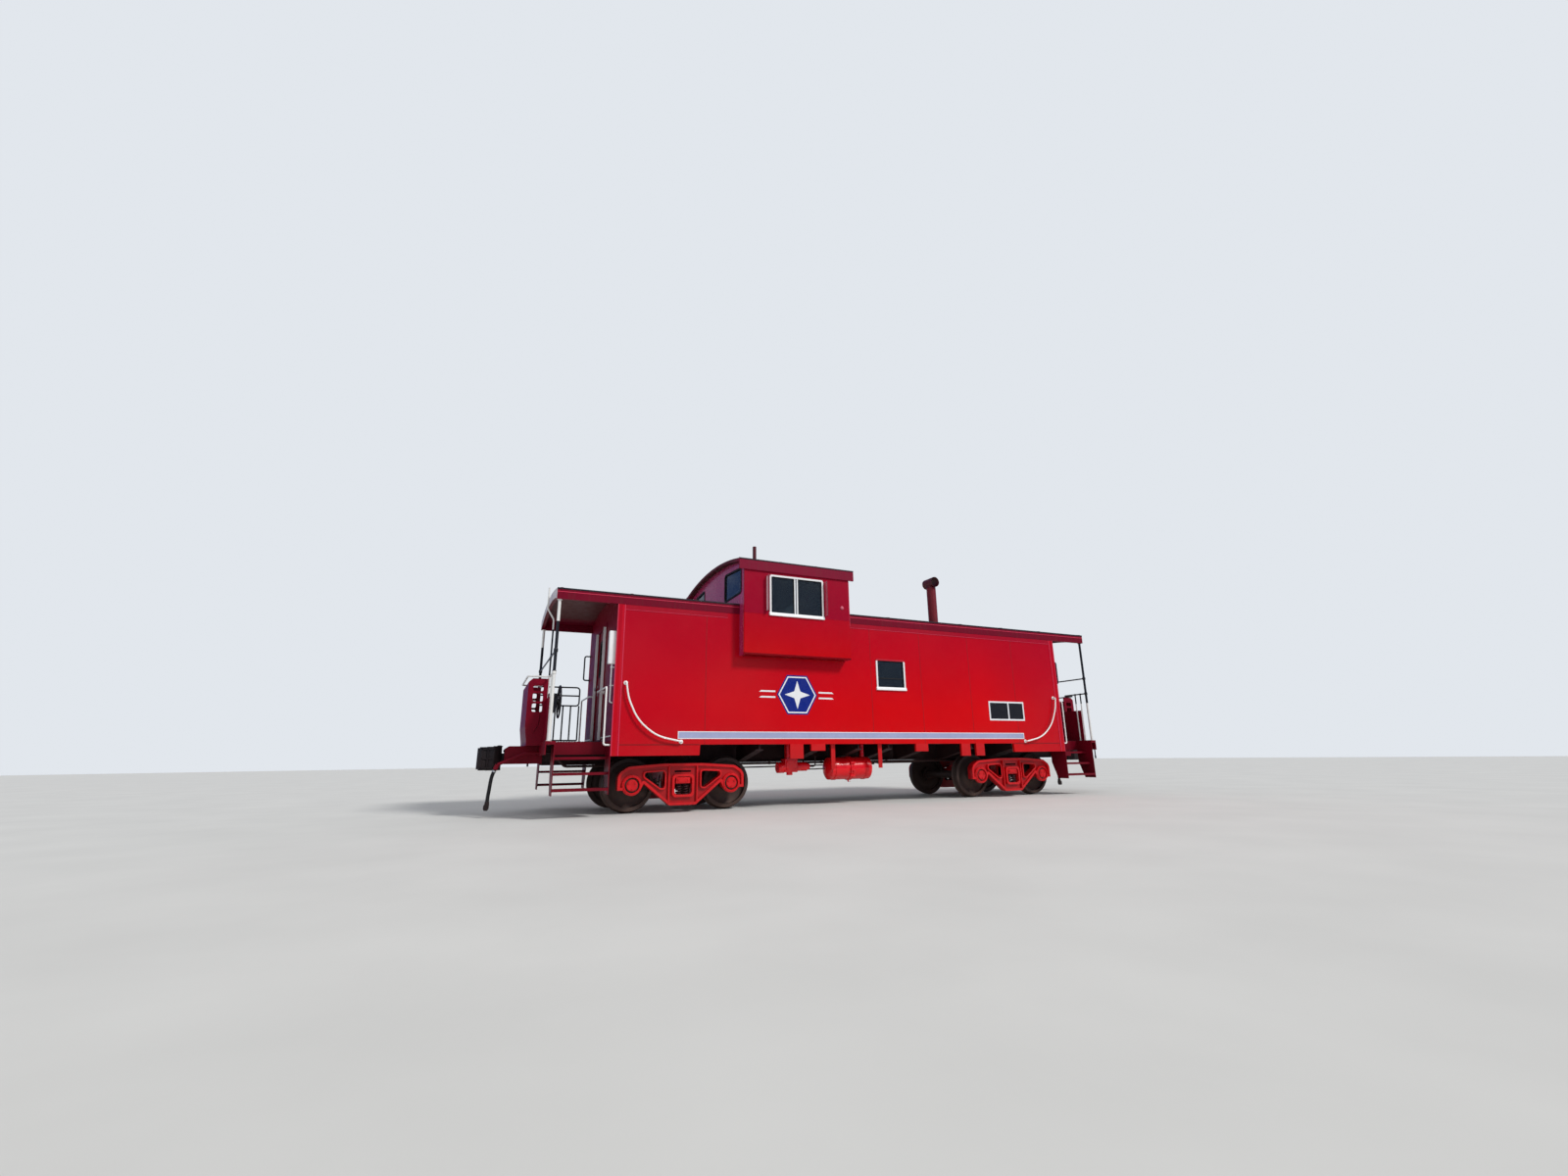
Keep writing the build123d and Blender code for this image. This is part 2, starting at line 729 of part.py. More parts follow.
def center_sill():
    """The box sill along the car with its flanges and the two center plates."""
    top = FLOOR_Z - FLOOR_T
    ends = CENTER_SILL_X
    sill = block(-ends, ends, -SILL_FLANGE, SILL_FLANGE, top - SILL_PLATE, top)
    web = block(-ends, ends, -SILL_HALF, -SILL_HALF + SILL_PLATE, CENTER_SILL_Z, top - SILL_PLATE)
    foot = block(-ends, ends, -SILL_FLANGE, -SILL_HALF, CENTER_SILL_Z, CENTER_SILL_Z + SILL_PLATE)
    sill += both_sides(web + foot)
    half = BODY_BOLSTER_HALF
    drop = CENTER_SILL_Z - CENTER_PLATE_Z - CENTER_GAP
    for x in (-TRUCK_X, TRUCK_X):
        sill += block(x - half, x + half, -SILL_HALF, SILL_HALF, CENTER_SILL_Z, CENTER_SILL_Z + SILL_PLATE)
        sill += Pos(x, 0, CENTER_SILL_Z - drop / 2) * Cylinder(PLATE_R, drop)
    return sill


def crossbearers():
    """The six pairs of crossbearer arms."""
    arms = bearer(BEARER_XS[0], BEARER_T, BEARER_FLANGE)
    for x in BEARER_XS[1:]:
        arms += bearer(x, BEARER_T, BEARER_FLANGE)
    return arms


def body_bolsters():
    """The box arms over each truck: two webs on a shared foot, out to the side walls."""
    arms = None
    for x in (-TRUCK_X, TRUCK_X):
        shift = BODY_BOLSTER_HALF - BOLSTER_WEB_FOOT
        pair = bearer(x - shift, BODY_BOLSTER_T, BOLSTER_WEB_FOOT)
        pair += bearer(x + shift, BODY_BOLSTER_T, BOLSTER_WEB_FOOT)
        pair += bearer(x, BODY_BOLSTER_T, BODY_BOLSTER_HALF)
        arms = pair if arms is None else arms + pair
    return arms


def cabin_floor():
    """The floor between the side walls and the end walls' outer faces."""
    return block(-BODY_X, BODY_X, -BODY_Y + WALL, BODY_Y - WALL, FLOOR_Z - FLOOR_T, FLOOR_Z)


def platform():
    """The right end platform: a deck narrowed at the step wells, with its end plate and risers."""
    well = block(BODY_X, STEP_X1, -WELL_Y, WELL_Y, FLOOR_Z - FLOOR_T, FLOOR_Z - DECK_DROP)
    edge = block(STEP_X1, ROOF_X, -STEP_OUT_Y, STEP_OUT_Y, FLOOR_Z - FLOOR_T, FLOOR_Z)
    under = (FLOOR_Z - FASCIA_DEPTH, FLOOR_Z - FLOOR_T)
    buffer = block(ROOF_X - FASCIA_T, ROOF_X, -STEP_OUT_Y, STEP_OUT_Y, *under)
    riser = block(BODY_X, STEP_X1, -WELL_Y, -WELL_Y + FASCIA_T, *under)
    buffer -= block(DRAFT_X0, DRAFT_X1, -DRAFT_Y, DRAFT_Y, DRAFT_Z0, DRAFT_Z1)
    return well + edge + buffer + both_sides(riser)


def step_set():
    """The near steps at the right end: two side plates and three treads."""
    side = [
        (-STEP_OUT_Y, FLOOR_Z),
        (-STEP_OUT_Y, STEP_BOTTOM),
        (-STEP_OUT_Y + TREAD_D + SIDE_PLATE_EXTRA, STEP_BOTTOM),
        (-WELL_Y, STEP_BOTTOM + SIDE_PLATE_RISE),
        (-WELL_Y, FLOOR_Z),
    ]
    steps = along_x(side, STEP_X0, STEP_X0 + STEP_T) + along_x(side, STEP_X1 - STEP_T, STEP_X1)
    for outer, top in TREADS:
        steps += block(STEP_X0 + STEP_T, STEP_X1 - STEP_T, -outer, -outer + TREAD_D, top - TREAD_T, top)
    return steps


# Ends


def end_posts():
    """The pipes of the right end: corner posts, bars, rails and the post that hooks over the roof."""
    deck = FLOOR_Z
    posts = rod((POST_X, -POST_Y, deck), (POST_X, -POST_Y, WALL_TOP), POST_R)
    posts += rod((POST_X, POST_Y, deck), (POST_X, POST_Y, WALL_TOP), POST_R)
    posts += rod((POST_X, -POST_Y, HIGH_BAR_Z), (POST_X, POST_Y, HIGH_BAR_Z), RAIL_R)
    rail_y = BAY_Y + BAY_RAIL_OUT
    rail_x = BAY_X + BAY_RAIL_OUT
    half = ((POST_X, -POST_Y), (POST_X, -rail_y), (rail_x, -rail_y))
    round_bay = half + tuple((x, -y) for x, y in reversed(half))
    posts += bent_rod([(x, y, TOP_RAIL_Z) for x, y in round_bay], RAIL_BEND, RAIL_R)
    for side in (-1, 1):
        for y in RAIL_POST_YS:
            posts += rod((POST_X, side * y, deck), (POST_X, side * y, TOP_RAIL_Z), RAIL_R)
    hook = (
        (POST_X, MID_POST_Y, deck),
        (POST_X, MID_POST_Y, WALL_TOP - HOOK_DROP),
        (ROOF_X + HOOK_OUT, MID_POST_Y, WALL_TOP),
        (ROOF_X + HOOK_OUT, MID_POST_Y, EAVE_Z + HOOK_RISE),
    )
    return posts + bent_rod(hook, HOOK_BEND, RAIL_R)


def end_bay():
    """The deep bulkhead in the middle of the right end: side plates with windows, a front and panels."""
    side = [
        (POST_X + RAIL_R, FLOOR_Z),
        (BAY_FOOT_X, FLOOR_Z),
        (BAY_X, BAY_KNEE_Z),
        (BAY_X, BAY_Z - BAY_CHAMFER),
        (BAY_X - BAY_CHAMFER, BAY_Z),
        (POST_X + RAIL_R, BAY_Z),
    ]
    plate = along_y(side, -BAY_Y, -BAY_Y + PANEL_T)
    through = (-BAY_Y - 1, -BAY_Y + PANEL_T + 1)
    for low, high in BAY_WINDOWS:
        plate -= window_y(BAY_WIN_X0, BAY_WIN_X1, RAIL + low, RAIL + high, BAY_WIN_R, *through)
    bay = both_sides(plate)
    front = [
        (BAY_FOOT_X - PANEL_T, FLOOR_Z),
        (BAY_FOOT_X, FLOOR_Z),
        (BAY_X, BAY_KNEE_Z),
        (BAY_X, BAY_Z - BAY_CHAMFER),
        (BAY_X - PANEL_T, BAY_Z - BAY_CHAMFER),
        (BAY_X - PANEL_T, BAY_KNEE_Z),
    ]
    bay += along_y(front, -BAY_Y, BAY_Y)
    bay += block(ROOF_X, BAY_FOOT_X, -BAY_Y, BAY_Y, FLOOR_Z - FLOOR_T, FLOOR_Z)
    x = POST_X + RAIL_R
    bay += both_sides(block(x, x + PANEL_T, -PANEL_Y, -BAY_Y, FLOOR_Z, PANEL_Z))
    return bay


def hand_brake():
    """The right end's hand brake: a spoked wheel on a gear housing on the platform side."""
    x = BRAKE_X
    y = BRAKE_Y
    z = BRAKE_Z
    brake = Pos(x, y, z) * Rot(0, 90, 0) * Torus(BRAKE_WHEEL_R, BRAKE_RIM_R)
    brake += disc_x(y, z, BRAKE_HUB_R, x - BRAKE_HUB_BACK, x - BRAKE_HUB_BACK + BRAKE_HUB_L)
    for k in range(SPOKES):
        spoke = Pos(0, 0, SPOKE_MID) * Cylinder(SPOKE_R, SPOKE_L)
        brake += Pos(x, y, z) * Rot(360 * k / SPOKES, 0, 0) * spoke
    wide = (y - GEARBOX_HALF, y + GEARBOX_HALF)
    return brake + block(x + GEARBOX_SET, POST_X + RAIL_R, *wide, z - GEARBOX_LOW, z + GEARBOX_HIGH)


# Draft gear


def draft_box():
    """The right end's striker casting round the coupler shank."""
    outline = [
        (DRAFT_X0, DRAFT_Z0),
        (DRAFT_X1, DRAFT_Z0),
        (DRAFT_X1, DRAFT_Z1 - DRAFT_SLOPE_Z),
        (DRAFT_X1 - DRAFT_SLOPE_X, DRAFT_Z1),
        (DRAFT_X0, DRAFT_Z1),
    ]
    box = along_y(outline, -DRAFT_Y, DRAFT_Y)
    mouth_y = SHANK_Y + COUPLER_PLAY + MOUTH_SIDE
    mouth_z = SHANK_Z + COUPLER_PLAY
    box -= block(DRAFT_X0 - 1, DRAFT_X1 + 1, -mouth_y, mouth_y, COUPLER_Z - SHANK_Z, COUPLER_Z + mouth_z)
    return box


def coupler():
    """The right end's knuckle coupler: shank, head with its guard arm, knuckle and pin."""
    x0 = DRAFT_X0 + SHANK_PLAY
    shank = block(x0, DRAFT_X1 + SHANK_OUT, -SHANK_Y, SHANK_Y, COUPLER_Z - SHANK_Z, COUPLER_Z + SHANK_Z)
    low = COUPLER_Z - HEAD_H / 2
    head = Pos(COUPLER_X, 0) * fillet(make_face(Polyline(*HEAD_PLAN, close=True)).vertices(), HEAD_R)
    jaw = Pos(COUPLER_X, 0) * fillet(make_face(Polyline(*KNUCKLE_PLAN, close=True)).vertices(), HEAD_R)
    body = extrude(Plane.XY.offset(low) * head, amount=HEAD_H)
    body += extrude(Plane.XY.offset(low + JAW_INSET) * jaw, amount=HEAD_H - 2 * JAW_INSET)
    x, y = PIN_SPOT
    tall = HEAD_H / 2 - JAW_INSET + PIN_HEAD
    return shank + body + Pos(COUPLER_X + x, y, COUPLER_Z + tall / 2) * Cylinder(PIN_R, tall)


def angle_cock():
    """The right end's air pipe and cock, beside the coupler."""
    y = -HOSE_Y
    z = FLOOR_Z - COCK_DROP
    start, second = hose_route(y)[:2]
    knee = (2 * start[0] - second[0], y, 2 * start[2] - second[2])
    path = ((ROOF_X, y, z), (ROOF_X + COCK_RUN, y, z), knee)
    return bent_rod(path, COCK_BEND, COCK_PIPE_R) + rod(knee, start, COCK_R)


def hose_route(y):
    """The hose's route in X, Y and Z: out of the cock, then down."""
    return [(HOSE_X + out, y, HOSE_TOP - down) for out, down in HOSE_ROUTE]


def route_radii(points):
    """The bend at each corner of a hose: as large as its two runs allow."""
    path = [Vector(*point) for point in points]
    radii = []
    for before, corner, after in zip(path, path[1:], path[2:]):
        run = min((corner - before).length, (after - corner).length)
        turn = math.radians((corner - before).get_angle(after - corner))
        radii.append(RUN_SHARE * run / math.tan(turn / 2))
    return radii


def air_hose():
    """The right end's air hose, hanging from its cock."""
    points = hose_route(-HOSE_Y)
    radii = route_radii(points)
    print("hose bend radii", [round(radius) for radius in radii])
    return bent_rod(points, radii, HOSE_R)


def glad_hand():
    """The metal coupling at the foot of the hose."""
    y = -HOSE_Y
    (x0, _, z0), (x, _, z) = hose_route(y)[-2:]
    lean = math.degrees(math.atan2(x - x0, z0 - z))
    hand = block(-HAND_BACK, HAND_FRONT, -HAND_HALF, HAND_HALF, -HAND_L, 0)
    return Pos(x, y, z) * Rot(0, -lean, 0) * hand


# Brackets, tank and brakes


def sill_brackets():
    """Pads below both side sills, and the two long bars beside the tank."""
    pads = None
    for x0, x1, low in PADS:
        pad = block(x0, x1, -BODY_Y, -BODY_Y + WALL, RAIL + low, SILL_Z)
        pads = pad if pads is None else pads + pad
    pads = both_ends(pads)
    for x in HANGER_XS:
        across = (x - HANGER_W / 2, x + HANGER_W / 2)
        pads += block(*across, -HANGER_Y - HANGER_T, -HANGER_Y, TANK_Z, FLOOR_Z - FLOOR_T)
    return pads


def air_tank():
    """The air reservoir with domed ends and a middle band, hung by two straps."""
    middle = (TANK_X0 + TANK_X1) / 2
    half = (TANK_X1 - TANK_X0) / 2
    band = TANK_R + STRAP_T
    profile = [(half - TANK_DOME, TANK_R)]
    for x in (TANK_STRAP_X, 0, -TANK_STRAP_X):
        right = x + STRAP_W / 2
        left = x - STRAP_W / 2
        profile += [(right, TANK_R), (right, band), (left, band), (left, TANK_R)]
    profile.append((-half + TANK_DOME, TANK_R))
    dome_r = (TANK_R**2 + TANK_DOME**2) / (2 * TANK_DOME)
    turn = math.asin(TANK_R / dome_r) / 2
    crown = half - dome_r + dome_r * math.cos(turn)
    outline = Polyline(*profile)
    outline += ThreePointArc(profile[-1], (-crown, dome_r * math.sin(turn)), (-half, 0))
    outline += Line((-half, 0), (half, 0))
    outline += ThreePointArc((half, 0), (crown, dome_r * math.sin(turn)), profile[0])
    tank = Pos(middle, TANK_Y, TANK_Z) * revolve(make_face(outline), Axis.X, 360)
    for x in (middle - TANK_STRAP_X, middle + TANK_STRAP_X):
        across = (x - STRAP_W / 2, x + STRAP_W / 2)
        tank += block(*across, TANK_Y - STRAP_HALF, TANK_Y + STRAP_HALF, TANK_Z + TANK_R, FLOOR_Z - FLOOR_T)
    return tank


def control_valve():
    """The valve that works the brakes: a body with round lobes, hung from the floor."""
    middle = (VALVE_Y0 + VALVE_Y1) / 2
    valve = block(VALVE_X0, VALVE_X1, VALVE_Y0, VALVE_Y1, VALVE_Z0, VALVE_Z1)
    hanger = (middle - VALVE_HANGER, middle + VALVE_HANGER)
    valve += block(VALVE_X0 + VALVE_HANGER, VALVE_X1 - VALVE_HANGER, *hanger, VALVE_Z1, FLOOR_Z - FLOOR_T)
    for x, z, radius, length in VALVE_LOBES:
        valve += disc_x(middle, z, radius, x - length / 2, x + length / 2)
    x, z, radius, length = VALVE_DROP
    return valve + Pos(x, middle, z) * Cylinder(radius, length)


def brake_cylinder():
    """The brake cylinder with its push rod, the floating lever and the pull rod."""
    y = BRAKE_CYL_Y
    z = BRAKE_CYL_Z
    end = BRAKE_CYL_X + BRAKE_CYL_L
    lip = BRAKE_CYL_LIP
    foot = BRAKE_CYL_FOOT
    cylinder = disc_x(y, z, BRAKE_CYL_R, BRAKE_CYL_X, end)
    cylinder += disc_x(y, z, BRAKE_CYL_R + BRAKE_CYL_RIM, end - lip, end + lip)
    cylinder += block(BRAKE_CYL_X + foot, end - foot, y - foot, y + foot, z, FLOOR_Z - FLOOR_T)
    lever_x = end + BRAKE_ROD_L
    cylinder += rod((end + lip, y, z), (lever_x, y, z), BRAKE_ROD_R)
    lever = (lever_x - LEVER_HALF, lever_x + LEVER_HALF, LEVER_Y0, LEVER_Y1)
    cylinder += block(*lever, z - LEVER_T, z + LEVER_T)
    return cylinder + rod((lever_x, PULL_Y, z), (PULL_END, PULL_Y, z), PULL_R)


# Roof gear


def smoke_stack():
    """The stack with its crosswise cap, open at both ends, seated on the roof."""
    foot = EAVE_Z + ROOF_RISE - ROOF_T / 2
    middle = (foot + STACK_TOP) / 2
    half = STACK_CAP_L / 2
    pipe = Pos(STACK_X, 0, middle) * Cylinder(STACK_R, STACK_TOP - foot)
    cap = disc_y(STACK_X, STACK_TOP, CAP_PIPE_R, -half, half)
    hollow = disc_y(STACK_X, STACK_TOP, CAP_PIPE_R - STACK_WALL, -half - 1, half + 1)
    bore = Pos(STACK_X, 0, middle) * Cylinder(STACK_R - STACK_WALL, STACK_TOP - foot + 2)
    collar = Pos(STACK_X, 0, EAVE_Z + ROOF_RISE) * Cylinder(STACK_R + STACK_COLLAR, STACK_COLLAR_H)
    return (pipe + cap + collar) - hollow - bore


def antenna():
    """The plain mast on the cupola roof with its flange."""
    foot = CUP_EAVE + CUP_RISE - MAST_SINK
    mast = Pos(MAST_X, 0, (foot + MAST_TOP) / 2) * Cylinder(MAST_R, MAST_TOP - foot)
    return mast + Pos(MAST_X, 0, foot + MAST_FLANGE_T / 2) * Cylinder(MAST_FLANGE_R, MAST_FLANGE_T)


def grab_irons():
    """The curved irons at the ends of each side and the rails from the end walls down to the steps."""
    y = -BODY_Y - IRON_OFF
    curve = [(-x, y, RAIL + z) for x, z in IRON_CURVE]
    line = [(curve[0][0], -BODY_Y, curve[0][2])] + curve + [(curve[-1][0], -BODY_Y, curve[-1][2])]
    iron = bent_rod(line, route_radii(line), RAIL_R)
    out_x = -BODY_X - CORNER_OFF
    side_y = -BODY_Y + CORNER_SET
    foot_z = FLOOR_Z - CORNER_FOOT
    corner = (
        (-BODY_X, -CORNER_IRON_Y, CORNER_IRON_Z),
        (out_x, -CORNER_IRON_Y, CORNER_IRON_Z),
        (out_x, side_y, CORNER_IRON_Z),
        (out_x, side_y, foot_z),
        (-STEP_X0 - STEP_T, side_y, foot_z),
    )
    near_left = iron + bent_rod(corner, CORNER_BEND, RAIL_R)
    return both_sides(near_left + mirror(near_left, Plane.YZ))


def post_grab():
    """The upright iron high on the right end wall, at its near corner."""
    x = BODY_X + CORNER_OFF
    y = -POST_GRAB_Y
    line = ((BODY_X, y, POST_GRAB_Z1), (x, y, POST_GRAB_Z1), (x, y, POST_GRAB_Z0), (BODY_X, y, POST_GRAB_Z0))
    return bent_rod(line, CORNER_BEND, RAIL_R)


def side_guard():
    """The railing across the far steps of the left end."""
    y = POST_Y - GUARD_INSET
    foot = FLOOR_Z + GUARD_LIFT
    x0 = -POST_X
    x1 = -BODY_X - GUARD_REACH
    loop = ((x0, y, GUARD_TOP_Z), (x1, y, GUARD_TOP_Z), (x1, y, GUARD_LOW_Z), (x0, y, GUARD_LOW_Z))
    guard = bent_rod(loop, GUARD_BEND, RAIL_R)
    for z in (GUARD_MID_Z, foot):
        guard += rod((x0, y, z), (x1, y, z), RAIL_R)
    for back in GUARD_UPRIGHTS:
        guard += rod((x1 - back, y, foot), (x1 - back, y, GUARD_LOW_Z), RAIL_R)
    return guard


# Cabin fittings


def cabinet(x0, x1, y_front, top):
    """A pair of thin-walled lockers along both side walls."""
    wall = BODY_Y - WALL
    t = CABINET_T
    shell = block(x0, x1, -wall, -y_front, FLOOR_Z, top)
    return both_sides(shell - block(x0 + t, x1 - t, -wall, -y_front - t, FLOOR_Z, top - t))


def cabin_fittings():
    """The lockers below the cupola, the bunks and the desk."""
    lockers = cabinet(LOCKER_X0, LOCKER_X1, LOCKER_Y0, LOCKER_Z)
    bunks = cabinet(BUNK_X0, BUNK_X1, BUNK_Y0, FLOOR_Z + BUNK_H)
    wall = BODY_Y - WALL
    top = FLOOR_Z + DESK_H
    desk = block(DESK_X0, DESK_X1, BUNK_Y0, wall, top - DESK_T, top)
    for x in (DESK_X0, DESK_X1 - DESK_LEG):
        desk += block(x, x + DESK_LEG, BUNK_Y0, wall, FLOOR_Z, top - DESK_T)
    return lockers + bunks + desk


def cupola_seats():
    """The four seats on the lockers, each on its stem, backs towards the cupola's ends."""
    middle = (SEAT_XS[0] + SEAT_XS[1]) / 2
    seats = None
    for x in SEAT_XS:
        away = 1 if x > middle else -1
        back_x = sorted((x + away * SEAT_HALF, x + away * (SEAT_HALF - SEAT_BACK_T)))
        across = (-SEAT_Y - SEAT_HALF, -SEAT_Y + SEAT_HALF)
        seat = block(x - SEAT_HALF, x + SEAT_HALF, *across, SEAT_Z - SEAT_T, SEAT_Z)
        seat += block(*back_x, *across, SEAT_Z, SEAT_Z + SEAT_BACK_H)
        stem = SEAT_Z - SEAT_T - LOCKER_Z
        seat += Pos(x, -SEAT_Y, LOCKER_Z + stem / 2) * Cylinder(SEAT_STEM_R, stem)
        seats = seat if seats is None else seats + seat
    return both_sides(seats)


def stove():
    """The heating stove on its feet, under the stack."""
    low = FLOOR_Z + STOVE_LEG_H
    body = Pos(STACK_X, 0, low + STOVE_H / 2) * Cylinder(STOVE_R, STOVE_H)
    foot = Pos(STACK_X, 0, FLOOR_Z + STOVE_LEG_H / 2) * Box(STOVE_R, STOVE_R, STOVE_LEG_H)
    flue_z = (low + STOVE_H, EAVE_Z + ROOF_RISE - ROOF_T)
    flue = Pos(STACK_X, 0, sum(flue_z) / 2) * Cylinder(STACK_R, flue_z[1] - flue_z[0])
    return body + foot + flue


# Trucks


def side_frame(cx):
    """A near side frame: cast frame with windows, pedestal jaws, a recessed web and a rimmed middle."""
    right = [(x, RAIL + z) for x, z in FRAME_OUTLINE]
    left = [(-x, z) for x, z in reversed(right[1:-1])]
    outline = make_face(Polyline(*(right + left), close=True))
    ends = [v for v in outline.vertices() if abs(v.X) > HALF_BASE and v.Y > AXLE_Z]
    outline = fillet(ends, FRAME_END_R)
    feet = [v for v in outline.vertices() if v.Y < RAIL + FRAME_OUTLINE[-1][1] + 1 and abs(v.X) > 1]
    outline = fillet(feet, FRAME_FOOT_R)
    jaw_r = BEARING_R + JAW_GAP
    holes = []
    for side in (-1, 1):
        corners = [(side * x, RAIL + z) for x, z in FRAME_WINDOW]
        triangle = make_face(Polyline(*corners, close=True))
        holes.append(fillet(triangle.vertices(), FRAME_WINDOW_R))
        jaw = Pos(side * HALF_BASE, AXLE_Z) * Circle(jaw_r)
        slot = Pos(side * HALF_BASE, AXLE_Z - JAW_DEPTH / 2) * Rectangle(2 * jaw_r, JAW_DEPTH)
        holes.append(jaw + slot)
    box_x, box_z, box_r = FRAME_BOX
    centre = Pos(0, FRAME_BOX_Z) * RectangleRounded(box_x, box_z, box_r)
    holes.append(centre)
    face = outline
    for hole in holes:
        face -= hole
    frame = extrude(Plane.XZ.offset(FRAME_Y0) * face, amount=FRAME_Y1 - FRAME_Y0)
    recess = offset(outline, amount=-FRAME_RIM)
    for hole in holes:
        recess -= offset(hole, amount=HOLE_RIM)
    pocket = extrude(Plane.XZ.offset(FRAME_Y1 - FRAME_POCKET) * recess, amount=FRAME_POCKET + 1)
    grown = (box_x + 2 * BOX_RIM, box_z + 2 * BOX_RIM, box_r + BOX_RIM)
    raised = Pos(0, FRAME_BOX_Z) * RectangleRounded(*grown) - centre
    rim = extrude(Plane.XZ.offset(FRAME_Y1 - FRAME_POCKET) * raised, amount=FRAME_POCKET + BOX_RIM_T)
    return Pos(cx, 0, 0) * (frame - pocket + rim)


def truck_bolster(cx):
    """The bolster across the truck: center plate in the middle, ends in the frames' windows."""
    low = BOLSTER_END_Z
    high = low + BOLSTER_END_T
    seat = CENTER_PLATE_Z - PLATE_SEAT_T
    shoulder = FRAME_Y0 - BOLSTER_NECK
    outline = [
        (0, seat),
        (PLATE_SEAT_Y, seat),
        (BOLSTER_ARM_Y, low + BOLSTER_ARM_RISE),
        (shoulder, high),
        (FRAME_Y1, high),
        (FRAME_Y1, low),
        (shoulder, low),
        (BOLSTER_ARM_Y, low - BOLSTER_SLOPE),
        (0, low + BOLSTER_SLOPE),
    ]
    left = [(-y, z) for y, z in reversed(outline[1:-1])]
    shape = make_face(Polyline(*(outline + left), close=True))
    bolster = extrude(Plane.YZ.offset(-BOLSTER_END_X) * shape, amount=2 * BOLSTER_END_X)
    bolster += Pos(0, 0, CENTER_PLATE_Z - PLATE_SEAT_T / 2) * Cylinder(PLATE_R + PLATE_RIM, PLATE_SEAT_T)
    return Pos(cx, 0, 0) * bolster


def truck_springs(cx):
    """The spring groups under both ends of the bolster, as plain round blocks."""
    middle = (FRAME_Y0 + FRAME_Y1) / 2
    tall = BOLSTER_END_Z - SPRING_SEAT_Z
    springs = None
    for x in (-SPRING_X, SPRING_X):
        for y in (-middle, middle):
            coil = Pos(cx + x, y, SPRING_SEAT_Z + tall / 2) * Cylinder(SPRING_R, tall)
            springs = coil if springs is None else springs + coil
    return springs


def wheel():
    """A near wheel: tread and flange, curved plate and hub, as one turned outline."""
    back = WHEEL_BACK_Y
    inner_r = TREAD_R - RIM_T
    mid = back + RIM_W * PLATE_PLACE
    half = PLATE_T / 2
    dish_r = (HUB_R + inner_r) / 2
    dish = back + PLATE_DISH
    hub_mid = (HUB_Y0 + HUB_Y1) / 2
    tread = [(inner_r, mid - half), (inner_r, back)]
    tread += [(TREAD_R + out, back + across) for out, across in TREAD_PROFILE]
    tread += [(inner_r, back + RIM_W), (inner_r, mid + half)]
    hub = [(HUB_R, hub_mid + half), (HUB_R - HUB_TAPER, HUB_Y1), (AXLE_R, HUB_Y1)]
    hub += [(AXLE_R, HUB_Y0), (HUB_R, HUB_Y0), (HUB_R, hub_mid - half)]
    outline = Polyline(*[(r, -y) for r, y in tread])
    outline += Spline((inner_r, -mid - half), (dish_r, -dish - half), (HUB_R, -hub_mid - half))
    outline += Polyline(*[(r, -y) for r, y in hub])
    outline += Spline((HUB_R, -hub_mid + half), (dish_r, -dish + half), (inner_r, -mid + half))
    return revolve(make_face(outline), Axis.Y, 360)


def wheelset(cx):
    """An axle with its two wheels, bearings and end caps, as one turning piece."""
    axle = disc_y(0, 0, AXLE_R, -HUB_Y1, HUB_Y1)
    journal = disc_y(0, 0, JOURNAL_R, -BEARING_Y1, BEARING_Y1)
    bearing = disc_y(0, 0, BEARING_R, -BEARING_Y1, -BEARING_Y0)
    cap = disc_y(0, 0, CAP_R, -BEARING_Y1 - CAP_T, -BEARING_Y1)
    solid = axle + journal + both_sides(bearing + cap + wheel())
    return Pos(cx, 0, AXLE_Z) * solid


def turned(shape):
    """The same piece at the other end of the car."""
    return Rot(0, 0, 180) * shape


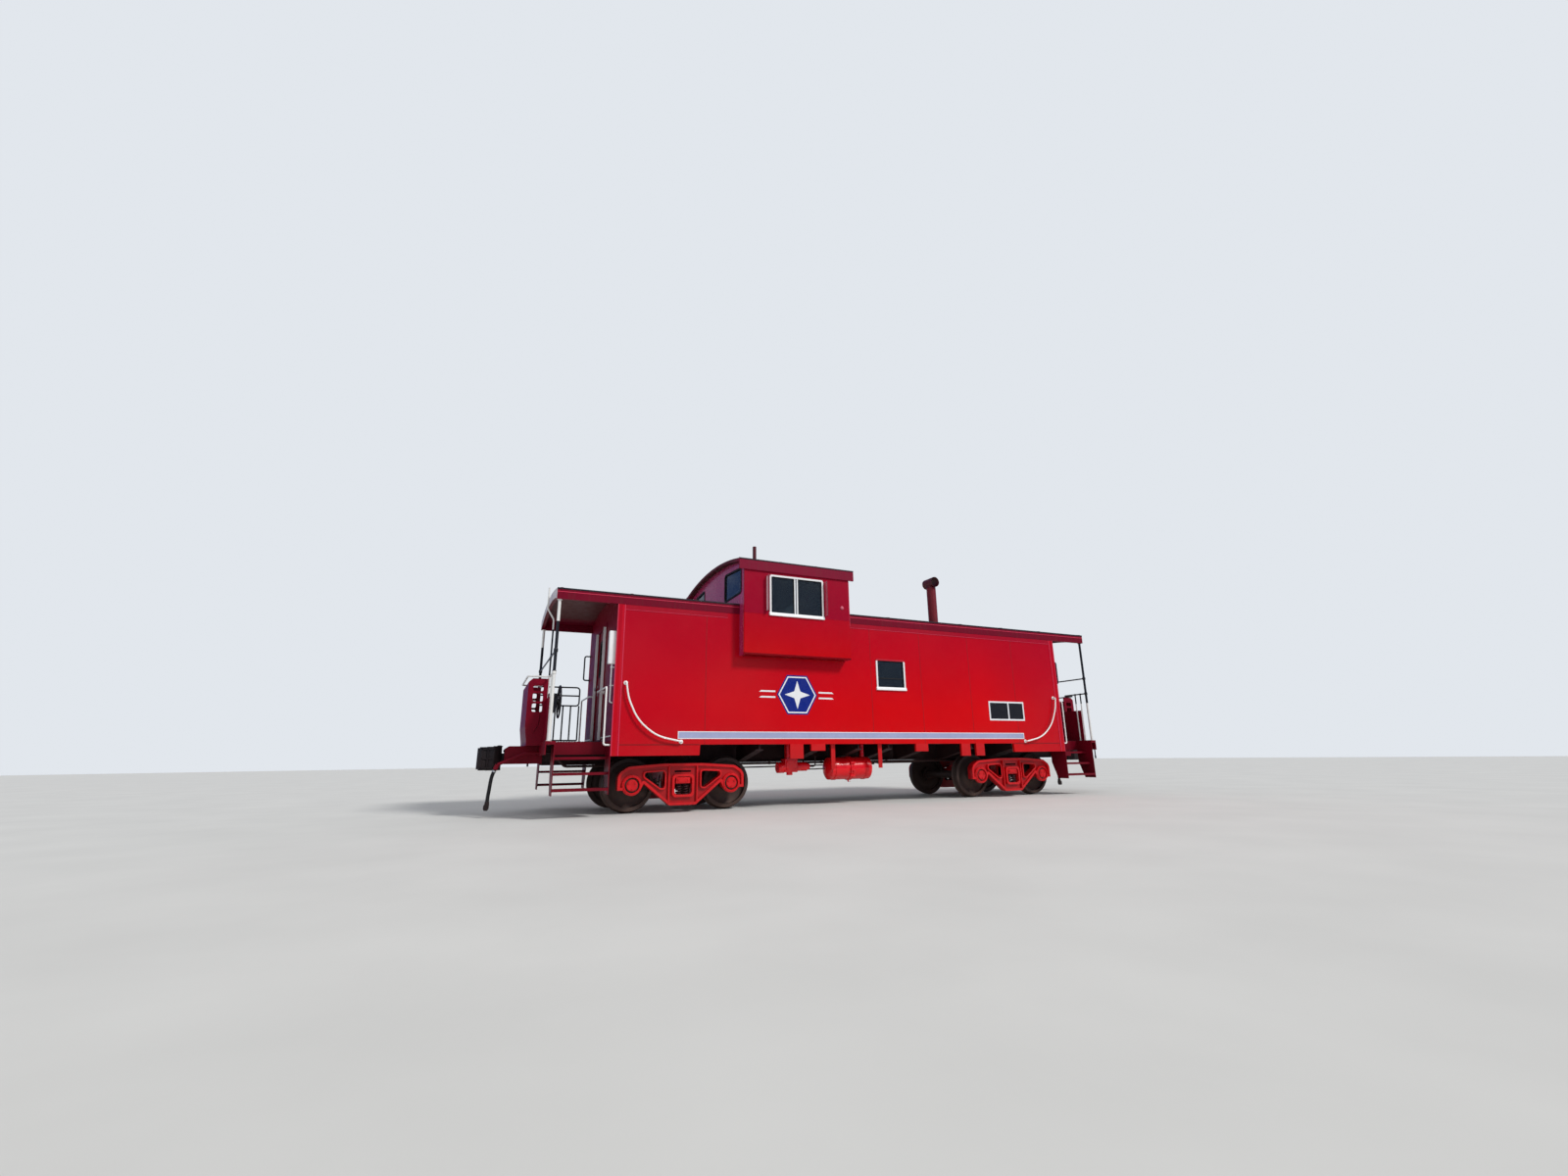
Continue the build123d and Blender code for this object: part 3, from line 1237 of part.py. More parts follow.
def build_nodes():
    """Every piece of the car by its name."""
    nodes = {
        "center_sill": center_sill(),
        "crossbearers": crossbearers(),
        "body_bolsters": body_bolsters(),
        "cabin_floor": cabin_floor(),
        "platforms": both_ends(platform()),
        "side_wall_near": side_wall(),
        "end_wall_right": end_wall(),
        "end_wall_left": turned(end_wall()),
        "roof_left": roof_half(-ROOF_X, CUP_X0, (-ROOF_X, -ROOF_X + ROOF_RIB)),
        "roof_right": roof_half(CUP_X1, ROOF_X, (ROOF_X - ROOF_RIB, ROOF_X)),
        "cupola_side_near": cupola_side(),
        "cupola_end_left": cupola_end(CUP_X0, CUP_X0 + CUP_WALL),
        "cupola_end_right": cupola_end(CUP_X1 - CUP_WALL, CUP_X1),
        "cupola_roof": cupola_roof(),
        "window_frames": window_frames(),
        "window_glass": window_glass(),
        "wind_deflectors": wind_deflectors(),
        "grab_irons": grab_irons(),
        "post_grabs": both_ends(post_grab()),
        "cabin_fittings": cabin_fittings(),
        "cupola_seats": cupola_seats(),
        "stove": stove(),
        "end_posts_right": end_posts(),
        "end_posts_left": turned(end_posts()),
        "end_bay_right": end_bay(),
        "end_bay_left": turned(end_bay()),
        "hand_brakes": both_ends(hand_brake()),
        "couplers": both_ends(coupler()),
        "draft_boxes": both_ends(draft_box()),
        "smoke_stack": smoke_stack(),
        "antenna": antenna(),
        "air_tank": air_tank(),
        "control_valve": control_valve(),
        "brake_cylinder": brake_cylinder(),
        "sill_brackets": sill_brackets(),
        "angle_cocks": both_ends(angle_cock()),
        "glad_hands": both_ends(glad_hand()),
        "air_hose_right": air_hose(),
        "air_hose_left": turned(air_hose()),
        "side_guard": side_guard(),
        "end_door_right": end_door(),
        "end_door_left": turned(end_door()),
        "door_glass_right": end_door_glass(),
        "door_glass_left": turned(end_door_glass()),
    }
    nodes["smoke_stack"] -= nodes["roof_right"]
    nodes["stove"] -= nodes["roof_right"]
    nodes["antenna"] -= nodes["cupola_roof"]
    nodes["side_guard"] -= nodes["end_posts_left"]
    nodes["side_wall_far"] = mirror(nodes["side_wall_near"], Plane.XZ)
    nodes["cupola_side_far"] = mirror(nodes["cupola_side_near"], Plane.XZ)
    near_steps = step_set()
    far_steps = mirror(near_steps, Plane.XZ)
    nodes["steps_right"] = near_steps + far_steps
    nodes["steps_left"] = turned(near_steps + far_steps)
    for end, side in (("left", -1), ("right", 1)):
        cx = side * TRUCK_X
        near_frame = side_frame(cx)
        nodes[f"truck_frames_{end}"] = near_frame + mirror(near_frame, Plane.XZ)
        nodes[f"truck_bolster_{end}"] = truck_bolster(cx)
        nodes[f"truck_springs_{end}"] = truck_springs(cx)
    for number, cx in enumerate(
        (-TRUCK_X - HALF_BASE, -TRUCK_X + HALF_BASE, TRUCK_X - HALF_BASE, TRUCK_X + HALF_BASE), start=1
    ):
        nodes[f"wheelset_{number}"] = wheelset(cx)
    return nodes


os.makedirs("parts", exist_ok=True)
for name, shape in build_nodes().items():
    export_step(shape, f"parts/{name}.step")
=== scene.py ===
import math
import bmesh
import bpy
from mathutils import Matrix, Vector


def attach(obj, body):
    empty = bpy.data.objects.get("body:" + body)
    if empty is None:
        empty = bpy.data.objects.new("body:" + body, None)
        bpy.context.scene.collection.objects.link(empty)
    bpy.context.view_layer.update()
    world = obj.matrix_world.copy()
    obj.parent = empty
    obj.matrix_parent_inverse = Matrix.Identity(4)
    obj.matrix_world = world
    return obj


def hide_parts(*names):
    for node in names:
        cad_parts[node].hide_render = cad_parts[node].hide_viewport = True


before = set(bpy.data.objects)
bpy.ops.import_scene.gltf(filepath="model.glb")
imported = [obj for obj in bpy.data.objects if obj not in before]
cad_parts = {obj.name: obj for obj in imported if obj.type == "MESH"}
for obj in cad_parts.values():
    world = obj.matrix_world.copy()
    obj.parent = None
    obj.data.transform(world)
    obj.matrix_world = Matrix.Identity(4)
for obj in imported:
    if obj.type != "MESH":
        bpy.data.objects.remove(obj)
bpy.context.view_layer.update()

# A bay cupola railway caboose. X runs along the car, Y across it, Z up, in metres.
# The origin is on the floor under the middle of the car, at the height of the flanges' edge.

# Top of the rail, where the treads stand
RAIL = 0.026

# Trucks and wheels
TREAD_R = 0.419
AXLE_Z = 0.445
TRUCK_X = 3.556
HALF_BASE = 0.838
FRAME_Y0 = 0.950
FRAME_Y1 = 1.092
BEARING_Y1 = 1.080
SPRING_SEAT_Z = RAIL + 0.250
SPRING_TOP_Z = RAIL + 0.430
SPRING_X = 0.060
SPRING_R = 0.052

# Body, roof and end platforms
BODY_X = 4.810
BODY_Y = 1.395
SILL_Z = RAIL + 1.040
SKIRT_Z = RAIL + 0.870
SKIRT_X = 3.385
FLOOR_Z = RAIL + 1.100
WALL_TOP = RAIL + 3.280
ROOF_X = 5.770
ROOF_Y = 1.403
EAVE_Z = RAIL + 3.454
ROOF_RISE = 0.140
POST_X = 5.720
POST_Y = 1.350
STEP_X1 = 5.640
DOOR_LOW = FLOOR_Z + 0.030
DOOR_HIGH = DOOR_LOW + 1.960

# Cupola
CUP_X0 = -2.700
CUP_X1 = -0.580
CUP_Y = 1.620
CUP_Z0 = RAIL + 2.540
CUP_FASCIA = RAIL + 4.050
CUP_EAVE = RAIL + 4.240
CUP_RISE = 0.190
CUP_LIP = 0.030
CUP_OVER_X = 0.100
SEAM_Z = RAIL + 3.270

# Windows: X from and to, Z from and to, over their frames
CUP_WIN = (-2.215, -1.130, RAIL + 3.270, RAIL + 4.000)
SIDE_WIN = (0.095, 0.755, RAIL + 2.055, RAIL + 2.630)
WIN_FRAME = 0.032
MULLION_X = -1.690

# Middle and radius of the air tank under the floor
TANK_X, TANK_Y, TANK_Z = -0.310, -0.880, RAIL + 0.610
TANK_R = 0.200

# How far a thin piece reaches into the wall that it lies on
SUNK = 0.004

MIRROR = Matrix.Diagonal((1, -1, 1, 1))
TURN = Matrix.Rotation(math.pi, 4, "Z")
ENDS = (("left", -TRUCK_X), ("right", TRUCK_X))


# Camera, at the photograph's place and angle
def make_camera():
    yaw, pitch, roll = 0.4377, 0.2588, -0.0130
    right = Vector((math.cos(yaw), -math.sin(yaw), 0))
    look = Vector((math.sin(yaw) * math.cos(pitch), math.cos(yaw) * math.cos(pitch), math.sin(pitch)))
    up = right.cross(look)
    side = math.cos(roll) * right + math.sin(roll) * up
    top = -math.sin(roll) * right + math.cos(roll) * up
    place = Vector((-6.667, -11.742, 0.846))
    data = bpy.data.cameras.new("camera")
    data.sensor_width = 36.0
    data.lens = 14.685
    data.clip_end = 300.0
    camera = bpy.data.objects.new("camera", data)
    bpy.context.scene.collection.objects.link(camera)
    camera.matrix_world = Matrix((
        (side.x, top.x, -look.x, place.x),
        (side.y, top.y, -look.y, place.y),
        (side.z, top.z, -look.z, place.z),
        (0, 0, 0, 1),
    ))
    bpy.context.scene.camera = camera


make_camera()


# Colours
def tint(red, green, blue):
    """A colour from its screen values, as the shader's linear values."""
    def linear(value):
        value /= 255.0
        return value / 12.92 if value <= 0.04045 else ((value + 0.055) / 1.055) ** 2.4
    return (linear(red), linear(green), linear(blue), 1.0)


class Finish:
    """Node wiring for one procedural material, in the object's own coordinates."""

    def __init__(self, name):
        self.material = bpy.data.materials.new(name)
        self.material.use_nodes = True
        self.tree = self.material.node_tree
        self.shader = self.tree.nodes["Principled BSDF"]
        self.place = self.tree.nodes.new("ShaderNodeTexCoord").outputs["Object"]
        split = self.tree.nodes.new("ShaderNodeSeparateXYZ")
        self.tree.links.new(self.place, split.inputs[0])
        self.axes = {"x": split.outputs[0], "y": split.outputs[1], "z": split.outputs[2]}

    def link(self, output, socket):
        self.tree.links.new(output, socket)

    def fill(self, value, socket):
        """A constant or another node's output, into a socket."""
        if hasattr(value, "links"):
            self.link(value, socket)
        else:
            socket.default_value = value

    def noise(self, scale, detail=3.0, rough=0.5, stretch=None):
        node = self.tree.nodes.new("ShaderNodeTexNoise")
        node.inputs["Scale"].default_value = scale
        node.inputs["Detail"].default_value = detail
        node.inputs["Roughness"].default_value = rough
        source = self.place
        if stretch:
            scaled = self.tree.nodes.new("ShaderNodeMapping")
            scaled.inputs["Scale"].default_value = stretch
            self.link(self.place, scaled.inputs["Vector"])
            source = scaled.outputs[0]
        self.link(source, node.inputs["Vector"])
        return node.outputs[0]

    def ranged(self, value, low, high, to_low, to_high):
        node = self.tree.nodes.new("ShaderNodeMapRange")
        self.link(value, node.inputs["Value"])
        for key, number in (("From Min", low), ("From Max", high), ("To Min", to_low), ("To Max", to_high)):
            node.inputs[key].default_value = number
        return node.outputs[0]

    def math(self, operation, first, second=None):
        node = self.tree.nodes.new("ShaderNodeMath")
        node.operation = operation
        self.link(first, node.inputs[0])
        if second is not None:
            self.fill(second, node.inputs[1])
        return node.outputs[0]

    def mix(self, amount, first, second, blend="MIX"):
        node = self.tree.nodes.new("ShaderNodeMix")
        node.data_type = "RGBA"
        node.blend_type = blend
        for value, number in ((amount, 0), (first, 6), (second, 7)):
            self.fill(value, node.inputs[number])
        return node.outputs[2]

    def grey(self, value):
        """A number as a grey colour."""
        node = self.tree.nodes.new("ShaderNodeCombineColor")
        for socket in node.inputs[:3]:
            self.link(value, socket)
        return node.outputs[0]

    def bump(self, height, strength, distance):
        node = self.tree.nodes.new("ShaderNodeBump")
        node.inputs["Strength"].default_value = strength
        node.inputs["Distance"].default_value = distance
        self.link(height, node.inputs["Height"])
        self.link(node.outputs[0], self.shader.inputs["Normal"])


# Half the width of the step from one colour to the next
COLOUR_STEP = 0.002


def paint(name, base, rough, metal=0.0, coat=0.0, tone=0.06, tone_scale=1.3, bump=None, zones=(),
          inside=None, low=None, fades=(), dust=None, streaks=0.0, vary=0.08, shine=0.3):
    """A painted or bare metal: colour drift, dust rising from below, streaks and fine bumps.

    bump is (scale, distance) and zones are (axis, edge, colour above it).
    inside is (axis, limit, colour nearer to the middle) and low is (height, colour below it).
    fades are (axis, start, end, colour at the end, most of it); the script uses them for painted shade.
    dust is (colour, height where it ends, height where it is fullest, most of it).
    """
    finish = Finish(name)
    colour = base
    for axis, edge, above in zones:
        step = finish.ranged(finish.axes[axis], edge - COLOUR_STEP, edge + COLOUR_STEP, 0.0, 1.0)
        colour = finish.mix(step, colour, above)
    for axis, start, end, shade, most in fades:
        amounts = (0.0, most) if start < end else (most, 0.0)
        slope = finish.ranged(finish.axes[axis], min(start, end), max(start, end), *amounts)
        colour = finish.mix(slope, colour, shade)
    if inside:
        axis, limit, room = inside
        depth = finish.math("ABSOLUTE", finish.axes[axis])
        step = finish.ranged(depth, limit - COLOUR_STEP, limit, 1.0, 0.0)
        colour = finish.mix(step, colour, room)
    if low:
        limit, shade = low
        step = finish.ranged(finish.axes["z"], limit - COLOUR_STEP, limit, 1.0, 0.0)
        colour = finish.mix(step, colour, shade)
    drift = finish.ranged(finish.noise(tone_scale, 5.0, 0.6), 0.3, 0.7, 1.0 - tone, 1.0 + tone)
    colour = finish.mix(1.0, colour, finish.grey(drift), "MULTIPLY")
    if streaks:
        run = finish.noise(6.0, 4.0, 0.6, (4.0, 4.0, 0.25))
        amount = finish.ranged(run, 0.52, 0.78, 0.0, streaks)
        colour = finish.mix(amount, colour, tint(84, 60, 52))
    if dust:
        shade, top, full, most = dust
        rise = finish.ranged(finish.axes["z"], full, top, 1.0, 0.0)
        patch = finish.ranged(finish.noise(7.0, 6.0, 0.65), 0.35, 0.7, 0.25, 1.0)
        amount = finish.math("MULTIPLY", finish.math("MULTIPLY", rise, patch), most)
        colour = finish.mix(amount, colour, shade)
    finish.fill(colour, finish.shader.inputs["Base Color"])
    gloss = finish.ranged(finish.noise(9.0, 5.0, 0.6), 0.3, 0.7, rough - vary, rough + vary)
    finish.link(gloss, finish.shader.inputs["Roughness"])
    for key, value in (("Metallic", metal), ("Specular IOR Level", shine), ("Coat Weight", coat),
                       ("Coat Roughness", 0.06)):
        finish.shader.inputs[key].default_value = value
    if bump:
        scale, distance = bump
        finish.bump(finish.noise(scale, 4.0, 0.55), 0.6, distance)
    return finish.material


# Colours that several paints share
DUST = tint(120, 96, 78)
SOOT = tint(44, 34, 32)
CREAM = tint(196, 190, 160)
RED = tint(200, 0, 5)
CRIMSON = tint(138, 0, 36)
# Painted shade: the darker red that the sides of the body and the bay fade towards
PAINTED_SHADE_RED = tint(156, 0, 34)
CAST_RED = tint(204, 3, 16)
POST_WHITE = tint(222, 222, 220)
POST_BLACK = tint(24, 26, 30)
FRAME_WHITE = tint(230, 232, 234)
ROOF_GRIME = tint(92, 30, 34)

# Looks that two paints share
CASTING = dict(coat=0.08, tone=0.08, tone_scale=4.0, bump=(26.0, 0.003), dust=(SOOT, 0.75, 0.1, 0.3))
POST_LOOK = dict(coat=0.1, tone=0.05, tone_scale=6.0)
FRAME_LOOK = dict(tone=0.04, tone_scale=8.0, streaks=0.08)

# Reds of the body
# Painted shade: the side walls darken towards both ends and towards the top, as the shade under the eaves
# and the sky's reflection
body_red = paint("body_red", RED, 0.34, coat=0.15, shine=0.08, tone=0.05, tone_scale=0.7, bump=(1.6, 0.010),
                 inside=("y", BODY_Y - 0.047, CREAM), dust=(DUST, 1.5, 0.85, 0.08), vary=0.05,
                 fades=[("x", -0.4, -BODY_X, PAINTED_SHADE_RED, 0.45), ("x", 2.8, BODY_X, PAINTED_SHADE_RED, 0.45),
                        ("z", RAIL + 1.7, WALL_TOP, PAINTED_SHADE_RED, 0.60)])
# Painted shade: the bay's sides darken from their foot up to the seam
cupola_red = paint("cupola_red", tint(184, 0, 6), 0.34, coat=0.15, shine=0.08, tone=0.05, bump=(1.8, 0.008),
                   zones=[("z", SEAM_Z, CRIMSON)], inside=("y", CUP_Y - 0.037, CREAM),
                   low=(CUP_Z0 + 0.030, tint(120, 0, 10)), vary=0.05,
                   fades=[("z", CUP_Z0, SEAM_Z, PAINTED_SHADE_RED, 0.55)])
# Painted reflection: the cupola's ends are a purple pink, the body's red with the blue sky's reflection
# painted in
cupola_end_painted_reflection = paint("cupola_end_painted_reflection", tint(168, 44, 92), 0.24, coat=0.2, tone=0.05, bump=(1.8, 0.008))
# Painted shade: the ends, their bays and doors wear a darker copy of the body's red, as they stand in shade
end_red = paint("end_red", tint(118, 1, 30), 0.4, shine=0.12, bump=(2.2, 0.006),
                inside=("x", BODY_X - 0.047, CREAM), dust=(SOOT, 1.6, 0.9, 0.3))
platform_red = paint("platform_red", tint(112, 1, 26), 0.45, shine=0.12, tone=0.08,
                     dust=(SOOT, 1.4, 0.3, 0.4))
roof_red = paint("roof_red", tint(108, 0, 32), 0.5, shine=0.1, tone=0.07, tone_scale=2.0, bump=(3.0, 0.005),
                 zones=[("z", EAVE_Z + 0.012, ROOF_GRIME)], streaks=0.2)
cupola_roof_red = paint("cupola_roof_red", tint(120, 4, 42), 0.5, shine=0.12, tone=0.07, bump=(3.0, 0.005),
                        zones=[("z", CUP_EAVE + 0.008, ROOF_GRIME)], streaks=0.2)
# Painted reflection: the deflectors are a pale pinkish white, the sky's reflection painted on the left fin;
# the right fin, past X -1.7, is a lighter red, also brightened as painted light
deflector_painted_reflection = paint("deflector_painted_reflection", tint(226, 196, 204), 0.3, coat=0.1, tone=0.05,
                      zones=[("x", -1.700, tint(196, 66, 88))])
# Painted highlight: a pale pink for edges that glint, on the deflectors' edges and brackets and the cupola's
# bosses
edge_highlight_pink = paint("edge_highlight_pink", tint(200, 96, 116), 0.4, tone=0.05)
# Seams are darker than the wall; along the sill the darker bead is a painted shadow line where the skirt
# meets the wall
seam_red = paint("seam_red", tint(140, 0, 10), 0.4, tone=0.05)
strip_red = paint("strip_red", tint(186, 6, 34), 0.34, coat=0.15, shine=0.1, tone=0.05, streaks=0.08)
# Painted highlight: a pale pink for the glinting edges of the corner strips, drip strips and fascia ridges
strip_edge_highlight = paint("strip_edge_highlight", tint(196, 46, 76), 0.4, tone=0.05)
drip_red = paint("drip_red", tint(158, 0, 30), 0.4, coat=0.3, shine=0.1, tone=0.05)
stack_red = paint("stack_red", tint(112, 12, 28), 0.46, tone=0.1, tone_scale=5.0, bump=(40.0, 0.002),
                  zones=[("z", RAIL + 4.62, tint(84, 14, 26))])

# Underframe and trucks
deck_grey = paint("deck_grey", tint(70, 62, 60), 0.62, tone=0.12, tone_scale=5.0, bump=(60.0, 0.002))
frame_dark = paint("underframe_dark", tint(40, 14, 20), 0.6, tone=0.12, tone_scale=3.0, bump=(30.0, 0.003),
                   dust=(DUST, 1.1, 0.5, 0.25))
bracket_red = paint("bracket_red", tint(192, 3, 8), 0.38, coat=0.08, dust=(SOOT, 1.05, 0.7, 0.25))
truck_red = paint("truck_red", CAST_RED, 0.4, **CASTING)
# Painted shade: the frames' pockets, deeper than their faces, are a darker red
side_frame_red = paint("side_frame_red", CAST_RED, 0.4, **CASTING,
                       inside=("y", FRAME_Y1 - 0.032, tint(172, 2, 14)))
spring_dark = paint("spring_dark", tint(52, 16, 20), 0.5, tone=0.1, tone_scale=9.0)
# Painted shadow: a near black for the dark slot under each frame's top chord
slot_painted_shadow = paint("slot_painted_shadow", tint(14, 6, 8), 0.8, shine=0.05)
tank_red = paint("tank_red", tint(222, 3, 20), 0.24, coat=0.4, tone=0.04, dust=(SOOT, 0.55, 0.4, 0.2))
wheel_steel = paint("wheel_steel", tint(62, 50, 48), 0.6, metal=0.3, tone=0.16, tone_scale=9.0,
                    bump=(55.0, 0.0025), dust=(tint(104, 78, 62), 0.75, 0.0, 0.45))
coupler_iron = paint("coupler_iron", tint(30, 27, 30), 0.55, metal=0.4, tone=0.15, tone_scale=8.0,
                     bump=(45.0, 0.003), dust=(tint(96, 62, 46), 1.1, 0.6, 0.2))
rubber_black = paint("rubber_black", tint(22, 22, 24), 0.7, tone=0.1, tone_scale=20.0, bump=(120.0, 0.0008))
steel_grey = paint("steel_grey", tint(168, 170, 174), 0.4, metal=0.5, tone=0.1, tone_scale=12.0,
                   bump=(60.0, 0.001))

# Posts, rails, trims and markings
post_paint = paint("post_paint", POST_WHITE, 0.36, **POST_LOOK,
                   zones=[("z", RAIL + 2.145, POST_BLACK), ("z", RAIL + 2.930, POST_WHITE)])
dark_post_paint = paint("dark_post_paint", POST_WHITE, 0.36, **POST_LOOK,
                        zones=[("z", RAIL + 1.920, POST_BLACK)])
rail_black = paint("rail_black", tint(22, 23, 28), 0.4, coat=0.1, tone=0.08, tone_scale=6.0)
grab_white = paint("grab_white", tint(236, 236, 234), 0.34, coat=0.1, tone=0.04, tone_scale=6.0)
frame_white = paint("frame_white", FRAME_WHITE, 0.38, **FRAME_LOOK)
# Painted shade: the top bar of the side windows' frames is red, not white, as it lies in shade
window_white = paint("window_white", FRAME_WHITE, 0.38, **FRAME_LOOK,
                     zones=[("z", SIDE_WIN[3] - 0.036, tint(176, 20, 40)),
                            ("z", SEAM_Z - 0.060, FRAME_WHITE)])
stripe_white = paint("stripe_white", tint(226, 228, 232), 0.32, coat=0.1, tone=0.03, tone_scale=5.0)
stripe_blue = paint("stripe_blue", tint(156, 162, 196), 0.26, coat=0.2, tone=0.05, tone_scale=2.5)
emblem_blue = paint("emblem_blue", tint(10, 34, 124), 0.28, coat=0.1, tone=0.04, tone_scale=4.0)
plate_black = paint("plate_black", tint(14, 14, 18), 0.38, coat=0.1, tone_scale=8.0)
mullion_grey = paint("mullion_grey", tint(104, 108, 116), 0.5, tone=0.05)
trim_pale = paint("trim_pale", tint(206, 200, 202), 0.42, tone_scale=5.0, streaks=0.12)

# Cabin
cabin_green = paint("cabin_green", tint(150, 164, 146), 0.42, tone=0.05, tone_scale=4.0)
seat_brown = paint("seat_brown", tint(66, 40, 28), 0.5, tone=0.10, tone_scale=9.0, bump=(90.0, 0.0012))
stove_black = paint("stove_black", tint(34, 33, 34), 0.6, metal=0.3, tone=0.12, tone_scale=9.0,
                    bump=(50.0, 0.002))


def make_glass(name, colour, clear):
    finish = Finish(name)
    finish.shader.inputs["Transmission Weight"].default_value = clear
    finish.shader.inputs["IOR"].default_value = 1.45
    film = finish.ranged(finish.noise(3.0, 4.0, 0.6, (1.0, 1.0, 0.4)), 0.35, 0.75, 0.0, 0.16)
    finish.link(finish.mix(film, colour, tint(150, 156, 160)), finish.shader.inputs["Base Color"])
    smear = finish.ranged(finish.noise(12.0, 4.0), 0.3, 0.8, 0.01, 0.08)
    finish.link(smear, finish.shader.inputs["Roughness"])
    return finish.material


window_tint = make_glass("window_tint", tint(96, 108, 112), 0.9)

# Each paint with the frame's nodes that wear it
NODE_PAINTS = (
    (body_red, "side_wall_near side_wall_far"),
    (cupola_red, "cupola_side_near cupola_side_far"),
    (cupola_end_painted_reflection, "cupola_end_left cupola_end_right"),
    (end_red, "end_wall_left end_wall_right end_bay_left end_bay_right end_door_left end_door_right"),
    (platform_red, "platforms steps_left steps_right draft_boxes angle_cocks"),
    (roof_red, "roof_left roof_right"),
    (cupola_roof_red, "cupola_roof"),
    (deflector_painted_reflection, "wind_deflectors"),
    (stack_red, "smoke_stack antenna"),
    (deck_grey, "cabin_floor"),
    (frame_dark, "center_sill crossbearers body_bolsters brake_cylinder"),
    (bracket_red, "sill_brackets"),
    (truck_red, "truck_bolster_left truck_bolster_right"),
    (side_frame_red, "truck_frames_left truck_frames_right"),
    (tank_red, "air_tank control_valve"),
    (wheel_steel, "wheelset_1 wheelset_2 wheelset_3 wheelset_4"),
    (coupler_iron, "couplers"),
    (post_paint, "end_posts_left"),
    (dark_post_paint, "end_posts_right"),
    (rail_black, "hand_brakes post_grabs side_guard"),
    (grab_white, "grab_irons"),
    (window_white, "window_frames"),
    (window_tint, "window_glass door_glass_left door_glass_right"),
    (cabin_green, "cabin_fittings"),
    (stove_black, "stove"),
)
for coat_of_paint, nodes in NODE_PAINTS:
    for node in nodes.split():
        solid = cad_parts[node]
        if not solid.material_slots:
            solid.data.materials.append(coat_of_paint)
        for place in solid.material_slots:
            place.material = coat_of_paint


# Mesh helpers: each adds to a bmesh, in the car's own metres
AXES = {
    "x": lambda a, u, w: Vector((a, u, w)),
    "y": lambda a, u, w: Vector((u, a, w)),
    "z": lambda a, u, w: Vector((u, w, a)),
}


def close_rings(bm, first, last, index=0):
    """Faces over two outlines of as many points and between them."""
    faces = [bm.faces.new(first), bm.faces.new(list(reversed(last)))]
    for k in range(len(first)):
        j = (k + 1) % len(first)
        faces.append(bm.faces.new((first[j], first[k], last[k], last[j])))
    for face in faces:
        face.material_index = index


def add_prism(bm, outline, axis, low, high, index=0):
    """A flat outline carried along an axis."""
    spot = AXES[axis]
    rings = [[bm.verts.new(spot(level, u, w)) for u, w in outline] for level in (low, high)]
    close_rings(bm, *rings, index)


def box_outline(x0, x1, z0, z1, grow=0.0):
    return [(x0 - grow, z0 - grow), (x1 + grow, z0 - grow), (x1 + grow, z1 + grow), (x0 - grow, z1 + grow)]


def add_box(bm, x0, x1, y0, y1, z0, z1, index=0):
    """A box. Along X and Y either of its two sides may come first."""
    add_prism(bm, box_outline(*sorted((x0, x1)), *sorted((y0, y1))), "z", z0, z1, index)


def add_block(bm, middle, half, index=0):
    """A box from its middle and half its size each way."""
    spans = [level for m, h in zip(middle, half) for level in (m - h, m + h)]
    add_box(bm, *spans, index)


def add_frame(bm, outer, inner, axis, low, high, index=0):
    """A frame between two outlines of as many points."""
    spot = AXES[axis]
    levels = [(level, line) for level in (low, high) for line in (outer, inner)]
    rings = [[bm.verts.new(spot(level, u, w)) for u, w in line] for level, line in levels]
    out_low, in_low, out_high, in_high = rings
    count = len(outer)
    for k in range(count):
        j = (k + 1) % count
        for quad in (
            (out_low[k], out_low[j], in_low[j], in_low[k]),
            (out_high[j], out_high[k], in_high[k], in_high[j]),
            (out_low[j], out_low[k], out_high[k], out_high[j]),
            (in_low[k], in_low[j], in_high[j], in_high[k]),
        ):
            bm.faces.new(quad).material_index = index


def rounded(x0, x1, z0, z1, radius, steps=5):
    """An outline with rounded corners."""
    points = []
    corners = ((x1, z1, 0), (x0, z1, 90), (x0, z0, 180), (x1, z0, 270))
    for x, z, start in corners:
        cx = x - radius if x == x1 else x + radius
        cz = z - radius if z == z1 else z + radius
        for k in range(steps + 1):
            angle = math.radians(start + 90 * k / steps)
            points.append((cx + radius * math.cos(angle), cz + radius * math.sin(angle)))
    return points


def bend_points(first, corner, last, steps):
    """Points round a bend, from first to last, pulled towards its corner."""
    shares = [k / steps for k in range(steps + 1)]
    return [first * (1 - t) ** 2 + corner * (2 * t * (1 - t)) + last * t**2 for t in shares]


def round_corners(corners, radius, steps=5):
    """An outline with each corner rounded."""
    points = []
    for k in range(len(corners)):
        before, corner = Vector(corners[k - 1]), Vector(corners[k])
        after = Vector(corners[(k + 1) % len(corners)])
        back = (before - corner).normalized()
        ahead = (after - corner).normalized()
        reach = radius / math.tan(back.angle(ahead) / 2)
        bend = bend_points(corner + back * reach, corner, corner + ahead * reach, steps)
        points.extend((spot.x, spot.y) for spot in bend)
    return points


# Half the angle at a corner above which a pipe counts as straight there
STRAIGHT = 1.55


def pipe_line(points, bend, steps=6):
    """The middle line of a rigid pipe, with its bends."""
    points = [Vector(point) for point in points]
    line = [points[0]]
    for before, corner, after in zip(points, points[1:], points[2:]):
        back = (before - corner).normalized()
        ahead = (after - corner).normalized()
        half = back.angle(ahead) / 2
        if bend <= 0 or half > STRAIGHT:
            line.append(corner)
            continue
        room = min((before - corner).length, (after - corner).length)
        reach = min(bend / math.tan(half), 0.48 * room)
        line.extend(bend_points(corner + back * reach, corner, corner + ahead * reach, steps))
    line.append(points[-1])
    return line


